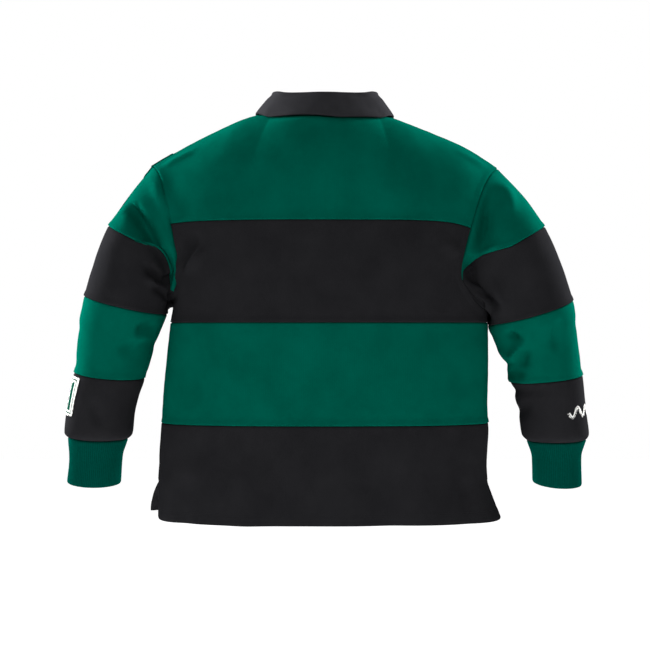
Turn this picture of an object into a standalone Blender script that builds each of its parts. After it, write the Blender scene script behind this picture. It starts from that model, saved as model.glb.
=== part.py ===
"""Long-sleeve polo shirt of the rugby kind, standing open in its worn form: every piece that is cut and sewn.

The tables are in millimetres and the scene is in metres. +Z is up, the front faces -Y and the wearer's
left is +X. The origin is the middle of the neck opening, level with where the shoulder seams reach the neck.
Each cloth piece is a thin wall cut out of one skin, so that pieces share their seam lines and seam angles.
"""

import math
from collections import namedtuple

import bmesh
import bpy
import numpy as np
from mathutils import Vector
from mathutils.bvhtree import BVHTree

MM = 0.001

SHARP = math.radians(50)  # edges bent more than this are shaded sharp

# Walls and gaps.
JERSEY = 1.6  # body and sleeves
RIB = 2.0  # cuffs
TWILL = 1.8  # collar, two plies
PLACKET = 2.0  # folded placket strip
BADGE = 0.8  # woven badge
SEAM_GAP = 0.3
CORNER_LEAST = 0.5  # keeps an edge that doubles back from being drawn in too far
SEWN_INSET = 0.2  # how far the strip and the badge are drawn in at their edges

# The torso as level sections: half widths on the wearer's left and right, and depths behind and before y = 0.
Section = namedtuple("Section", "height left right back front")
TORSO = (
    Section(-686, 286, 300, 104, 112),
    Section(-621, 286, 280, 106, 114),
    Section(-596, 285, 278, 106, 115),
    Section(-521, 282, 281, 108, 117),
    Section(-432, 274, 280, 111, 120),
    Section(-377, 268, 280, 114, 122),
    Section(-345, 265, 280, 115, 123),
    Section(-325, 262, 280, 116, 123),
    Section(-250, 268, 283, 118, 125),
    Section(-181, 274, 286, 116, 121),
)
OVAL = 2.5  # exponent of the section's rounded outline, 2 is an ellipse

# Levels up the torso, which are also the panel seams. A panel row is a number between two levels.
HEM, VENT, LOW_SEAM, MID_SEAM, UNDERARM, HIGH_SEAM, TOP = range(7)
LEVEL_HEIGHT = {VENT: -621, LOW_SEAM: -521, MID_SEAM: -350, HIGH_SEAM: -181}
HEM_HEIGHT = {"back": -686, "front": -678}
UNDERARM_LEFT, UNDERARM_RIGHT = -322, -336

# Below the side vents each panel hangs by itself: its half width at the hem, how its edge bends out
# to that (1 is straight), and how far the edges stand from y = 0.
Vent = namedtuple("Vent", "width bend")
VENTS = {
    ("back", 1): Vent(286, 1),
    ("back", -1): Vent(303, 1),
    ("front", 1): Vent(301, 2),
    ("front", -1): Vent(294, 1.5),
}
VENT_SPREAD = 7

# The armhole seam from the underarm (rise 0) to the high seam (rise 1), as half widths of the panels there.
Armhole = namedtuple("Armhole", "rise back_left back_right front_left front_right")
ARMHOLE = (
    Armhole(0.00, 264, 279, 264, 279),
    Armhole(0.10, 261, 259, 259, 266),
    Armhole(0.25, 257, 241, 251, 255),
    Armhole(0.45, 253, 227, 245, 248),
    Armhole(0.65, 252, 230, 245, 248),
    Armhole(0.82, 255, 236, 249, 251),
    Armhole(1.00, 259, 243, 255, 256),
)

# The shoulder seam from the neck (run 0) to the sleeve (run 1).
Shoulder = namedtuple("Shoulder", "run left_x left_y left_z right_x right_y right_z")
SHOULDER = (
    Shoulder(0.00, 88, 0, 12, 88, 0, 12),
    Shoulder(0.25, 140, 0, -1, 136, 0, -5),
    Shoulder(0.50, 190, 2, -23, 188, 0, -27),
    Shoulder(0.75, 243, 6, -50, 242, 0, -50),
    Shoulder(1.00, 296, 9, -82, 297, 0, -85),
)

# The neckline: an oval round the neck, which drops towards the middle of the back and of the front.
NECK_HALF = 88
NECK_DEPTH = {"back": 70, "front": 88}
NECK_DROP = {"back": 10, "front": 84}
NECK_HEIGHT = 12
NECK_BEND = 1.6  # 1 drops the neckline straight to its middle, more keeps it up for longer
NECK_RISE = {"back": 0.7, "front": 2.4}  # how steeply the middle of a panel climbs to the neckline

# How the panels run into the top edge: their rise there, and how much more out and up at the sleeve end.
TOP_RISE, TOP_RISE_OUT, TOP_LEAN_OUT = 0.1, 0.12, 0.5
YOKE_REACH = 1.12  # fullness of the roll over the shoulder
BELOW_SEAM = 0.05  # how far down the way of the panel into the high seam is measured

# Columns across a panel run from 0 at its middle to 1 at its side edge. The first three here keep to
# the placket's lines and the neck's end.
SLOT_COLUMN, STRIP_COLUMN, NECK_COLUMN = 0.045, 0.06, 0.36
SLOT_HALF, STRIP_HALF = 13, 17
HALF_COLUMNS = (0, SLOT_COLUMN, STRIP_COLUMN, 0.135, 0.21, 0.285, NECK_COLUMN, 0.49, 0.62, 0.75, 0.88, 1)
ROWS = (
    *np.linspace(HEM, VENT, 3)[:-1],
    *np.linspace(VENT, LOW_SEAM, 3)[:-1],
    *np.linspace(LOW_SEAM, MID_SEAM, 4)[:-1],
    MID_SEAM,
    *(UNDERARM + rise for rise in (0, 0.2, 0.4, 0.6, 0.8)),
    *np.linspace(HIGH_SEAM, TOP, 6),
)
PLACKET_FOOT = UNDERARM + 0.6

# A sleeve as rings: how far each is from the armhole along the top of the arm, its outer and inner ends
# as half widths and heights, the depth of its middle, half its depth, and how much lower its back is.
Ring = namedtuple("Ring", "station outer_x outer_z inner_x inner_z middle_y depth lean")
SLEEVE = {
    1: (
        Ring(127, 371, -184, 265, -236, 0, 76, 2),
        Ring(257, 414, -303, 270, -336, -2, 68, 6),
        Ring(323, 426, -366, 289, -381, -8, 60, 5),
        Ring(389, 435, -435, 310, -447, -16, 54, 5),
        Ring(420, 443, -468, 322, -476, -20, 51, 5),
        Ring(450, 450, -501, 330, -506, -24, 48, 5),
        Ring(492, 455, -541, 336, -544, -30, 45, 5),
        Ring(508, 451, -556, 344, -558, -33, 38, 5),
    ),
    -1: (
        Ring(127, 375, -186, 236, -265, 8, 82, 0),
        Ring(257, 424, -311, 284, -354, 0, 69, 7),
        Ring(323, 435, -375, 299, -397, -8, 61, 6),
        Ring(389, 446, -440, 320, -453, -16, 55, 5),
        Ring(420, 450, -472, 328, -481, -20, 52, 5),
        Ring(450, 454, -505, 335, -510, -24, 49, 5),
        Ring(492, 458, -543, 342, -546, -30, 46, 5),
        Ring(508, 455, -558, 351, -560, -33, 39, 5),
    ),
}
CUFF = {
    1: (
        Ring(508, 451, -556, 344, -558, -33, 38, 5),
        Ring(530, 446, -580, 353, -582, -36, 32, 7),
        Ring(577, 451, -627, 357, -629, -42, 29, 8),
    ),
    -1: (
        Ring(508, 455, -558, 351, -560, -33, 39, 5),
        Ring(530, 447, -582, 361, -584, -36, 32, 7),
        Ring(577, 449, -630, 363, -629, -42, 29, 8),
    ),
}
SLEEVE_SEAMS = (127, 257, 389, 508)
SLEEVE_STATIONS = (42, 84, 127, 170, 213, 257, 301, 345, 389, 395, 428, 461, 484, 500, 508)
CUFF_STATIONS = (530, 554, 577)

# How far the cap bulges, half way between the armhole and its lower seam, and which way.
CAP_BULGE = {1: 3, -1: 6}
CAP_BULGE_WAY = np.array([0.79, 0, 0.61])

# The cap's lower seam curls down beside the armhole. Degrees round the arm where it starts to, where it
# is beside it, and where it runs into it, and how far off it stays, outward and down.
Curl = namedtuple("Curl", "starts beside ends outward down")
CURL = {1: Curl(98, 138, 160, 8, 2), -1: Curl(92, 128, 132, 6, 2)}

# The badge on the outside of the left sleeve, over whole faces of the skin.
BADGE_STATIONS = (395, 461)
BADGE_TURN = (-31, 44)  # degrees round from the top of the arm, towards the back

# The largest folds, as seen square on to the back or the front: a trough between two points in (x, z).
Fold = namedtuple("Fold", "side x0 z0 x1 z1 width depth")
FOLDS = (
    Fold("back", 336, -148, 268, -240, 15, 9),
    Fold("back", -284, -135, -263, -240, 13, 8),
    Fold("back", 205, -205, 246, -262, 14, 4),
    Fold("front", 330, -158, 268, -250, 16, 8),
    Fold("front", -325, -152, -264, -248, 15, 8),
)

# The collar from the middle of the front (turn 0) to the middle of the back (turn 1): fold line and edge.
Collar = namedtuple("Collar", "turn fold_x fold_y fold_z edge_x edge_y edge_z")
COLLAR = (
    Collar(0.00, 8, -95, -60, 60, -120, -130),
    Collar(0.18, 42, -82, -33, 96, -104, -84),
    Collar(0.38, 74, -43, 14, 115, -62, -26),
    Collar(0.47, 85, -20, 33, 118, -28, -7),
    Collar(0.56, 86, 3, 42.5, 118, -2, 4),
    Collar(0.66, 79, 24, 41, 110, 26, 3),
    Collar(0.78, 63, 43, 36.5, 92, 54, -1),
    Collar(1.00, 0, 62, 32.5, 0, 84, -12),
)
COLLAR_TURNS = 27
COLLAR_ROLL = 2.6  # radius of the fold
COLLAR_REST = 4.4  # the least height of the fall above the shirt
COLLAR_SEAM = 1.5  # from the panels' edge to the foot of the stand
COLLAR_BELLY = (0.5, 1.2, 0.4)  # how far the fall swells: above its middle, there, and below it

BUTTON_HEIGHTS = (-118, -160, -202)
BUTTON_RADIUS, BUTTON_THICK = 7.5, 2.6
BUTTON_EDGE = 0.7  # width of its worked-off edge
BUTTON_CLEAR = 0.2  # from the seam gap above the strip to its under side
BUTTON_SIDES = 16

# Each finish has a colour and a roughness.
Finish = namedtuple("Finish", "colour roughness")
FINISH = {
    "green_jersey": Finish((0.004, 0.068, 0.045), 0.85),
    "black_jersey": Finish((0.013, 0.013, 0.015), 0.85),
    "green_rib": Finish((0.003, 0.048, 0.036), 0.9),
    "black_twill": Finish((0.016, 0.016, 0.018), 0.8),
    "white_badge": Finish((0.85, 0.85, 0.83), 0.8),
    "black_button": Finish((0.012, 0.012, 0.013), 0.35),
}
BLACK_BLOCKS = ("hem", "chest", "upper", "wrist")


def curve(knots, values, at):
    """Smooth curve through values at rising knots, read at the given places, that never swings past them."""
    knots, values, at = (np.asarray(a, float) for a in (knots, values, at))
    step = np.diff(knots).reshape(-1, *[1] * (values.ndim - 1))
    slope = np.diff(values, axis=0) / step
    before, after, product = slope[:-1], slope[1:], slope[:-1] * slope[1:]
    inner = np.where(product > 0, 2 * product / np.where(product > 0, before + after, 1), 0)
    tangent = np.concatenate([slope[:1], inner, slope[-1:]])
    i = np.clip(np.searchsorted(knots, at, side="right") - 1, 0, len(knots) - 2)
    wide = step[i]
    t = ((at - knots[i]) / (knots[i + 1] - knots[i])).reshape(wide.shape)
    return (
        (1 + 2 * t) * (1 - t) ** 2 * values[i]
        + t * (1 - t) ** 2 * wide * tangent[i]
        + t * t * (3 - 2 * t) * values[i + 1]
        + t * t * (t - 1) * wide * tangent[i + 1]
    )


def read(table, by, column, at):
    """One column of a table, read smoothly at a place along another."""
    rows = sorted(table, key=lambda row: getattr(row, by))
    knots = [getattr(row, by) for row in rows]
    return float(curve(knots, [getattr(row, column) for row in rows], [at])[0])


def mirrored(table):
    """The collar's table carried on past the middle of the back, so that it runs level there."""
    beyond = []
    for row in table[-2::-1]:
        beyond.append(row._replace(turn=2 - row.turn, fold_x=-row.fold_x, edge_x=-row.edge_x))
    return (*table, *beyond)


def unit(vector):
    return vector / np.linalg.norm(vector)


def ease(t):
    t = min(1.0, max(0.0, t))
    return t * t * (3 - 2 * t)


def hand_of(column):
    """1 on the wearer's left, -1 on the right."""
    return 1 if column >= 0 else -1


def level_height(side, level, column):
    if level == HEM:
        return HEM_HEIGHT[side]
    if level == UNDERARM:
        return UNDERARM_RIGHT + (UNDERARM_LEFT - UNDERARM_RIGHT) * (column + 1) / 2
    return LEVEL_HEIGHT[level]


def middle_width(column):
    """Half width of the columns beside the middle, which run straight up the placket."""
    return float(np.interp(abs(column), (0, SLOT_COLUMN, STRIP_COLUMN), (0, SLOT_HALF, STRIP_HALF)))


def torso_point(side, column, row):
    """A point of the torso below the high seam."""
    hand = hand_of(column)
    name = "left" if hand == 1 else "right"
    level = min(int(row), UNDERARM)
    low, high = (level_height(side, n, column) for n in (level, level + 1))
    height = low + (high - low) * (row - level)
    width = read(TORSO, "height", name, height)
    depth = read(TORSO, "height", side, height)
    turn = 2 / OVAL
    edge_angle = math.pi / 2
    if row < VENT:
        vent = VENTS[side, hand]
        flare = 1 - (row / VENT) ** vent.bend
        width = read(TORSO, "height", name, LEVEL_HEIGHT[VENT])
        width += flare * (vent.width - width)
        edge_angle = math.acos((VENT_SPREAD * flare / depth) ** (1 / turn))
    elif row > UNDERARM:
        edge = read(ARMHOLE, "rise", f"{side}_{name}", row - UNDERARM)
        edge_angle = math.asin(min(1.0, edge / width) ** (1 / turn))
    strip_angle = math.asin((middle_width(column) / width) ** (1 / turn))
    beyond = max(0.0, (abs(column) - STRIP_COLUMN) / (1 - STRIP_COLUMN))
    angle = strip_angle + (edge_angle - strip_angle) * beyond
    across = width * math.sin(angle) ** turn
    out = depth * max(0.0, math.cos(angle)) ** turn
    return np.array([hand * across, out if side == "back" else -out, height])


def top_point(side, column):
    """A point of a panel's top edge, neckline then shoulder seam, and the way the panel runs into it."""
    hand, sign = hand_of(column), 1 if side == "back" else -1
    if abs(column) >= NECK_COLUMN:
        run = (abs(column) - NECK_COLUMN) / (1 - NECK_COLUMN)
        name = "left" if hand == 1 else "right"
        x, y, z = (read(SHOULDER, "run", f"{name}_{axis}", run) for axis in "xyz")
        into = np.array([hand * TOP_LEAN_OUT * run**3, -sign, TOP_RISE + TOP_RISE_OUT * run**3])
        return np.array([hand * x, y, z]), unit(into)
    strip_angle = math.asin(middle_width(column) / NECK_HALF)
    beyond = max(0.0, (abs(column) - STRIP_COLUMN) / (NECK_COLUMN - STRIP_COLUMN))
    angle = strip_angle + (math.pi / 2 - strip_angle) * beyond
    return neck_point(side, hand * math.sin(angle), math.cos(angle))


def neck_point(side, across, middle):
    """A point of the neckline, and the way the panel runs into it."""
    sign = 1 if side == "back" else -1
    height = NECK_HEIGHT - NECK_DROP[side] * middle**NECK_BEND
    into = np.array([0, -sign, TOP_RISE + NECK_RISE[side] * middle])
    return np.array([NECK_HALF * across, sign * NECK_DEPTH[side] * middle, height]), unit(into)


def yoke_point(side, column, row):
    """A point above the high seam, where the cloth rolls over the shoulder to the top edge."""
    start = torso_point(side, column, HIGH_SEAM)
    before = torso_point(side, column, HIGH_SEAM - BELOW_SEAM)
    end, into = top_point(side, column)
    reach = YOKE_REACH * np.linalg.norm(end - start)
    away, into = unit(start - before) * reach, into * reach
    t = row - HIGH_SEAM
    from_start = (1 + 2 * t) * (1 - t) ** 2 * start + t * (1 - t) ** 2 * away
    return from_start + t * t * (3 - 2 * t) * end + t * t * (t - 1) * into


def ring_points(ring, hand, angles):
    """The points of one sleeve ring at the given angles round the arm, 0 at the top and 180 inside."""
    outer, inner = np.array([ring.outer_x, ring.outer_z]), np.array([ring.inner_x, ring.inner_z])
    middle, half = (outer + inner) / 2, (outer - inner) / 2
    cos, sin = np.cos(angles), np.sin(angles)
    return np.stack(
        [
            hand * (middle[0] + half[0] * cos),
            ring.middle_y + ring.depth * sin,
            middle[1] + half[1] * cos - ring.lean * sin,
        ],
        axis=1,
    )


def curled(ring, armhole, hand, angles):
    """The cap's lower seam: a ring whose inner part lies beside the armhole."""
    curl = CURL[hand]
    round_in = np.degrees(np.arccos(np.cos(angles)))
    share = np.array([ease((a - curl.starts) / (curl.beside - curl.starts)) for a in round_in])[:, None]
    return (1 - share) * ring + share * (armhole + (hand * curl.outward, 0, -curl.down))


class Skin:
    """The outside of the whole shirt as one mesh of quads, each labelled with the piece it belongs to."""

    def __init__(self):
        self.points, self.index, self.faces = [], {}, []
        self.columns = sorted({-c for c in HALF_COLUMNS} | set(HALF_COLUMNS))

    def vertex(self, key, make):
        if key not in self.index:
            self.index[key] = len(self.points)
            self.points.append(make())
        return self.index[key]

    def torso_vertex(self, side, column, row):
        at_side_seam = abs(column) == 1 and VENT <= row <= UNDERARM
        at_shoulder_seam = row == TOP and abs(column) >= NECK_COLUMN
        shared = "both" if at_side_seam or at_shoulder_seam else side
        make = yoke_point if row > HIGH_SEAM else torso_point
        return self.vertex((shared, column, row), lambda: make(side, column, row))

    def add_torso(self, side):
        for low, high in zip(ROWS, ROWS[1:]):
            block = ("hem", "hem", "waist", "chest", "chest", "shoulder")[int(low)]
            for a, b in zip(self.columns, self.columns[1:]):
                in_slot = side == "front" and low >= PLACKET_FOOT and max(abs(a), abs(b)) <= SLOT_COLUMN
                loop = [self.torso_vertex(side, c, r) for c, r in ((a, low), (a, high), (b, high), (b, low))]
                label = "placket_under" if in_slot else f"{side}_{block}"
                if label == "front_shoulder":
                    label += "_left" if a >= 0 else "_right"
                self.faces.append((loop if side == "back" else loop[::-1], label, (a, b, low, high)))

    def add_sleeve(self, hand):
        name = "left" if hand == 1 else "right"
        up = [row for row in ROWS if row >= UNDERARM]
        halves = [[self.torso_vertex(side, hand, row) for row in up[::-1]] for side in ("back", "front")]
        loop, angles = halves[0] + halves[1][-2:0:-1], []
        for half, sign in zip(halves, (1, -1)):
            steps = np.linalg.norm(np.diff([self.points[v] for v in half], axis=0), axis=1)
            angles.append(sign * math.pi * np.concatenate([[0], np.cumsum(steps)]) / steps.sum())
        angles = np.concatenate([angles[0], angles[1][-2:0:-1]])
        armhole = np.array([self.points[v] for v in loop])
        tubes = ((SLEEVE[hand], (0, *SLEEVE_STATIONS)), (CUFF[hand], (SLEEVE_SEAMS[-1], *CUFF_STATIONS)))
        for rings, stations in tubes:
            knots = [ring.station for ring in rings]
            shapes = [ring_points(ring, hand, angles) for ring in rings]
            if stations[0] == 0:
                shapes[0] = curled(shapes[0], armhole, hand, angles)
                rise = np.clip(np.cos(angles), 0, 1)[:, None] * CAP_BULGE[hand] * CAP_BULGE_WAY * (hand, 1, 1)
                half_way = (armhole + shapes[0]) / 2 + rise
                knots, shapes = [0, SLEEVE_SEAMS[0] / 2, *knots], [armhole, half_way, *shapes]
            places = curve(knots, shapes, stations)
            for row, (near, far) in enumerate(zip(stations, stations[1:])):
                for k in range(len(loop)):
                    j = (k + 1) % len(loop)
                    turns = np.degrees([angles[k], angles[j]])
                    corners = [
                        loop[n] if s == 0 else self.vertex((name, n, s), lambda r=r, n=n: places[r][n])
                        for s, n, r in ((near, k, row), (far, k, row + 1), (far, j, row + 1), (near, j, row))
                    ]
                    label = self.sleeve_label(hand, near, turns)
                    self.faces.append((corners if hand == 1 else corners[::-1], label, (*turns, near, far)))

    @staticmethod
    def sleeve_label(hand, station, turns):
        name = "left" if hand == 1 else "right"
        if station >= SLEEVE_SEAMS[3]:
            return f"cuff_{name}"
        if station < SLEEVE_SEAMS[0]:
            under = np.mean(np.abs(turns)) > CURL[hand].ends
            return f"sleeve_{name}_upper" if under else f"sleeve_{name}_cap"
        block = ("upper", "lower", "wrist")[int(np.searchsorted(SLEEVE_SEAMS, station, side="right")) - 1]
        return f"sleeve_{name}_{block}"

    def finish(self):
        self.points = np.array(self.points)
        self.normals = self.measure_normals()
        self.points = self.points + self.normals * self.fold_depths()[:, None]
        self.normals = self.measure_normals()

    def measure_normals(self):
        normals = np.zeros_like(self.points)
        for loop, _, _ in self.faces:
            a, b, c, d = self.points[loop]
            normals[loop] += np.cross(c - a, d - b)
        return normals / np.linalg.norm(normals, axis=1)[:, None]

    def fold_depths(self):
        """How far each point moves in or out for the folds."""
        moved = np.zeros(len(self.points))
        seen = self.points[:, [0, 2]]
        for fold in FOLDS:
            start, end = np.array([fold.x0, fold.z0]), np.array([fold.x1, fold.z1])
            along = end - start
            t = np.clip((seen - start) @ along / (along @ along), 0, 1)
            off = np.linalg.norm(seen - start - t[:, None] * along, axis=1) / fold.width
            facing = np.clip(self.normals[:, 1] * (1 if fold.side == "back" else -1), 0, 1)
            moved -= fold.depth * np.exp(-off * off) * np.sqrt(facing)
        return moved


def wall(name, skin, loops, thickness, lift, inset=SEAM_GAP / 2):
    """A closed wall over some faces of the skin: inner side lift above the skin, edges drawn in by inset."""
    used = sorted({v for loop in loops for v in loop})
    place = {v: i for i, v in enumerate(used)}
    directed = {(loop[i - 1], loop[i]) for loop in loops for i in range(4)}
    rim = [(a, b) for a, b in directed if (b, a) not in directed]
    inward = {v: [] for edge in rim for v in edge}
    for a, b in rim:
        for v in (a, b):
            inward[v].append(unit(np.cross(skin.normals[v], skin.points[b] - skin.points[a])))
    base = {v: skin.points[v].copy() for v in used}
    for v, ways in inward.items():
        total = sum(ways)
        base[v] += inset * total * len(ways) / max(total @ total, CORNER_LEAST)
    inner = [base[v] + lift * skin.normals[v] for v in used]
    outer = [base[v] + (lift + thickness) * skin.normals[v] for v in used]
    n = len(used)
    faces = []
    for a, b in rim:
        if a < b:
            corners = (n + place[b], n + place[a], place[b]), (n + place[a], place[a], place[b])
        else:
            corners = (n + place[b], n + place[a], place[a]), (n + place[b], place[a], place[b])
        faces += corners
    faces += [[n + place[v] for v in loop] for loop in loops]
    faces += [[place[v] for v in (loop[0], *loop[:0:-1])] for loop in loops]
    return cloth_object(name, inner + outer, faces)


def cloth_object(name, points, faces):
    mesh = bpy.data.meshes.new(name)
    mesh.from_pydata([Vector(p) * MM for p in points], [], faces)
    bm = bmesh.new()
    bm.from_mesh(mesh)
    bmesh.ops.recalc_face_normals(bm, faces=bm.faces)
    bm.to_mesh(mesh)
    bm.free()
    mesh.shade_smooth()
    mesh.set_sharp_from_angle(angle=SHARP)
    shape = bpy.data.objects.new(name, mesh)
    parts.objects.link(shape)
    return shape


def above(skin_tree, point, resting=False):
    """The point lifted clear of the shirt, or, if it rests there, set down at that height."""
    foot, normal, _, _ = skin_tree.find_nearest(Vector(point))
    height = (Vector(point) - foot) @ normal
    return np.array(foot + normal * COLLAR_REST) if resting or height < COLLAR_REST else point


def collar_section(turn, neckline, skin_tree):
    """The collar across its width at one place round the neck: stand, roll and fall, from seam to edge."""
    seam = np.array([np.interp(turn, neckline[:, 3], neckline[:, axis]) for axis in range(3)])
    fold = np.array([read(mirrored(COLLAR), "turn", f"fold_{axis}", turn) for axis in "xyz"])
    seam += unit(fold - seam) * COLLAR_SEAM
    edge = np.array([read(mirrored(COLLAR), "turn", f"edge_{axis}", turn) for axis in "xyz"])
    edge = above(skin_tree, edge, resting=True)
    up = unit(fold - seam)
    out = edge - fold
    out = unit(out - (out @ up) * up)
    arc = []
    for step in range(5):
        a = math.pi * step / 4
        arc.append(fold + COLLAR_ROLL * (out * (1 - math.cos(a)) + up * math.sin(a)))
    fall_top = arc[-1]
    upper, middle, lower = COLLAR_BELLY
    belly = (fall_top + edge) / 2 + out * middle
    fall = [(fall_top + belly) / 2 + out * upper, belly, (belly + edge) / 2 + out * lower]
    return [seam, (seam + fold) / 2, *arc, *(above(skin_tree, point) for point in fall), edge]


def make_collar(body):
    skin_tree = BVHTree.FromPolygons([Vector(p) for p in body.points], [loop for loop, _, _ in body.faces])
    neckline = []
    for (side, column, row), v in body.index.items():
        if row == TOP and side != "left" and 0 <= column <= NECK_COLUMN:
            turn = math.asin(min(1.0, body.points[v][0] / NECK_HALF)) / math.pi
            neckline.append([*body.points[v], 1 - turn if side == "back" else turn])
    neckline = np.array(sorted(neckline, key=lambda place: place[3]))
    turns = [1 - abs(1 - 2 * i / (COLLAR_TURNS - 1)) for i in range(COLLAR_TURNS)]
    grid = []
    for i, turn in enumerate(turns):
        hand = 1 if 2 * i <= COLLAR_TURNS - 1 else -1
        grid.append([p * (hand, 1, 1) for p in collar_section(turn, neckline, skin_tree)])
    skin = Skin()
    across = len(grid[0])
    skin.points = [p for section in grid for p in section]
    loops = []
    for i in range(COLLAR_TURNS - 1):
        for j in range(across - 1):
            a, b = i * across + j, (i + 1) * across + j
            loops.append([a, a + 1, b + 1, b])
    skin.faces = [(loop, "collar", None) for loop in loops]
    skin.points = np.array(skin.points)
    skin.normals = skin.measure_normals()
    return wall("collar", skin, loops, TWILL, -TWILL / 2, inset=0)


def make_button(number, height, skin):
    """A flat round button on the placket."""
    front = [v for place, v in skin.index.items() if place[:2] == ("front", 0) and place[2] >= PLACKET_FOOT]
    heights = skin.points[front, 2]
    order = np.argsort(heights)
    depth = float(np.interp(height, heights[order], skin.points[front, 1][order]))
    tilt = skin.normals[front[int(np.argmin(abs(heights - height)))]]
    bm = bmesh.new()
    radius = BUTTON_RADIUS * MM
    bmesh.ops.create_cone(
        bm, cap_ends=True, segments=BUTTON_SIDES, radius1=radius, radius2=radius, depth=BUTTON_THICK * MM
    )
    mesh = bpy.data.meshes.new(f"button_{number}")
    bm.to_mesh(mesh)
    bm.free()
    button = bpy.data.objects.new(mesh.name, mesh)
    parts.objects.link(button)
    button.rotation_mode = "QUATERNION"
    button.rotation_quaternion = Vector(tilt).to_track_quat("Z", "Y")
    clear = SEAM_GAP + PLACKET + SEAM_GAP + BUTTON_CLEAR + BUTTON_THICK / 2
    button.location = (Vector((0, depth, height)) + Vector(tilt) * clear) * MM
    round_edge = button.modifiers.new("round_edge", "BEVEL")
    round_edge.width, round_edge.segments = BUTTON_EDGE * MM, 1
    return button


def paint(shape, finish):
    material = bpy.data.materials.get(finish) or bpy.data.materials.new(finish)
    material.use_nodes = True
    shader = material.node_tree.nodes["Principled BSDF"]
    shader.inputs["Base Color"].default_value = (*FINISH[finish].colour, 1)
    shader.inputs["Roughness"].default_value = FINISH[finish].roughness
    shape.data.materials.append(material)


def block_finish(label):
    if label.startswith("cuff"):
        return "green_rib"
    if label.startswith("placket"):
        return "black_twill"
    return "black_jersey" if label.endswith(BLACK_BLOCKS) else "green_jersey"


def make_blocks(skin):
    """The blocks that the body and sleeves are pieced from, and the under side of the placket."""
    for label in sorted({label for _, label, _ in skin.faces}):
        loops = [loop for loop, name, _ in skin.faces if name == label]
        thickness = RIB if label.startswith("cuff") else JERSEY
        paint(wall(label, skin, loops, thickness, -thickness), block_finish(label))


def make_placket_top(skin):
    """The placket's strip, which lies over both fronts and closes the slot between them."""
    strip = []
    for loop, label, (left, right, low, _) in skin.faces:
        in_strip = label.startswith(("front", "placket")) and max(abs(left), abs(right)) <= STRIP_COLUMN
        if in_strip and low >= PLACKET_FOOT:
            strip.append(loop)
    paint(wall("placket_top", skin, strip, PLACKET, SEAM_GAP, SEWN_INSET), "black_twill")


def make_badge(skin):
    """The badge, sewn on round the outer edge of the left wrist."""
    first, last = BADGE_STATIONS
    low, high = BADGE_TURN
    badge = []
    for loop, label, (start, end, near, far) in skin.faces:
        along = label == "sleeve_left_wrist" and first <= near and far <= last
        if along and low <= min(start, end) and max(start, end) <= high:
            badge.append(loop)
    paint(wall("sleeve_badge", skin, badge, BADGE, SEAM_GAP, SEWN_INSET), "white_badge")


def build():
    skin = Skin()
    for side in ("back", "front"):
        skin.add_torso(side)
    for hand in (1, -1):
        skin.add_sleeve(hand)
    skin.finish()
    make_blocks(skin)
    make_placket_top(skin)
    make_badge(skin)
    paint(make_collar(skin), "black_twill")
    for number, height in enumerate(BUTTON_HEIGHTS, 1):
        paint(make_button(number, height, skin), "black_button")


for old in list(bpy.data.objects):
    bpy.data.objects.remove(old, do_unlink=True)
parts = bpy.data.collections.new("polo_shirt")
bpy.context.scene.collection.children.link(parts)
build()
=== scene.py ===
"""Looks of the long-sleeve polo shirt: every block of cloth as a fine thin shell with its creases, ribs and
stitches. Tables are in millimetres, meshes in metres. +Z is up, the front faces -Y, the wearer's left is +X.
"""

import math
from collections import namedtuple
from itertools import product

import bmesh
import bpy
import numpy as np
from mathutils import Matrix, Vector, noise
from mathutils.bvhtree import BVHTree
from mathutils.kdtree import KDTree


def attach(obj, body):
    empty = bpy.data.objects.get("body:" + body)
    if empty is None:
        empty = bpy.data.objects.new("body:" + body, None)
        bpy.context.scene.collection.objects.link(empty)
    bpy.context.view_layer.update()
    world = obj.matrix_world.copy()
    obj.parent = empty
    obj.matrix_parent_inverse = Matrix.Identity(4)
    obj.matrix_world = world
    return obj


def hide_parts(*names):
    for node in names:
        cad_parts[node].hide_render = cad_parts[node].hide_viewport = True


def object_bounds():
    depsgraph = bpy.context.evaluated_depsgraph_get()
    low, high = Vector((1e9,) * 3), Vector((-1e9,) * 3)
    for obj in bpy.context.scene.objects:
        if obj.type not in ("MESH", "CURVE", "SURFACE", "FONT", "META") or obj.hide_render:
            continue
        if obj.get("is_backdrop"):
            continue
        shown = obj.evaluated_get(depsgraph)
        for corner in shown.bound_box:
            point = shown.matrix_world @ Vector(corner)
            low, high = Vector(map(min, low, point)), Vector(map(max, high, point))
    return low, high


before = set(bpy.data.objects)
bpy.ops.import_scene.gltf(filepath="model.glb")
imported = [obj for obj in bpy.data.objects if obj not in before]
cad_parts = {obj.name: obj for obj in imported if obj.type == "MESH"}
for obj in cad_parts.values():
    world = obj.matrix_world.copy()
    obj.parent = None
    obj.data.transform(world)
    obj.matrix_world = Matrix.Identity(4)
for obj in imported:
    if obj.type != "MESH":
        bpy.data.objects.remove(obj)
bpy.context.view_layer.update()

MM = 0.001

# ----------------------------------------------------------
# The studio: a camera square on to the back at the height of the waist, a tall soft lamp behind the shirt on
# either hand that rims the sleeves, two weak ones over the camera, and white all round. The shirt hangs at
# the height it is worn, so the floor is well below it.
FLOOR_HEIGHT = -1.45
CAMERA_PLACE = (0, 2.4, -0.354)
AIM = (0, 0, -0.35)
SENSOR, LENS = 36, 77.3
WORLD_LIGHT, PAPER_GLOW = 0.22, 0.75
FLOOR_HALF = 9


def linear(code):
    """An sRGB hex colour as linear RGBA."""
    parts = [int(code[i : i + 2], 16) / 255 for i in (1, 3, 5)]
    return (*(p / 12.92 if p <= 0.04045 else ((p + 0.055) / 1.055) ** 2.4 for p in parts), 1)


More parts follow.
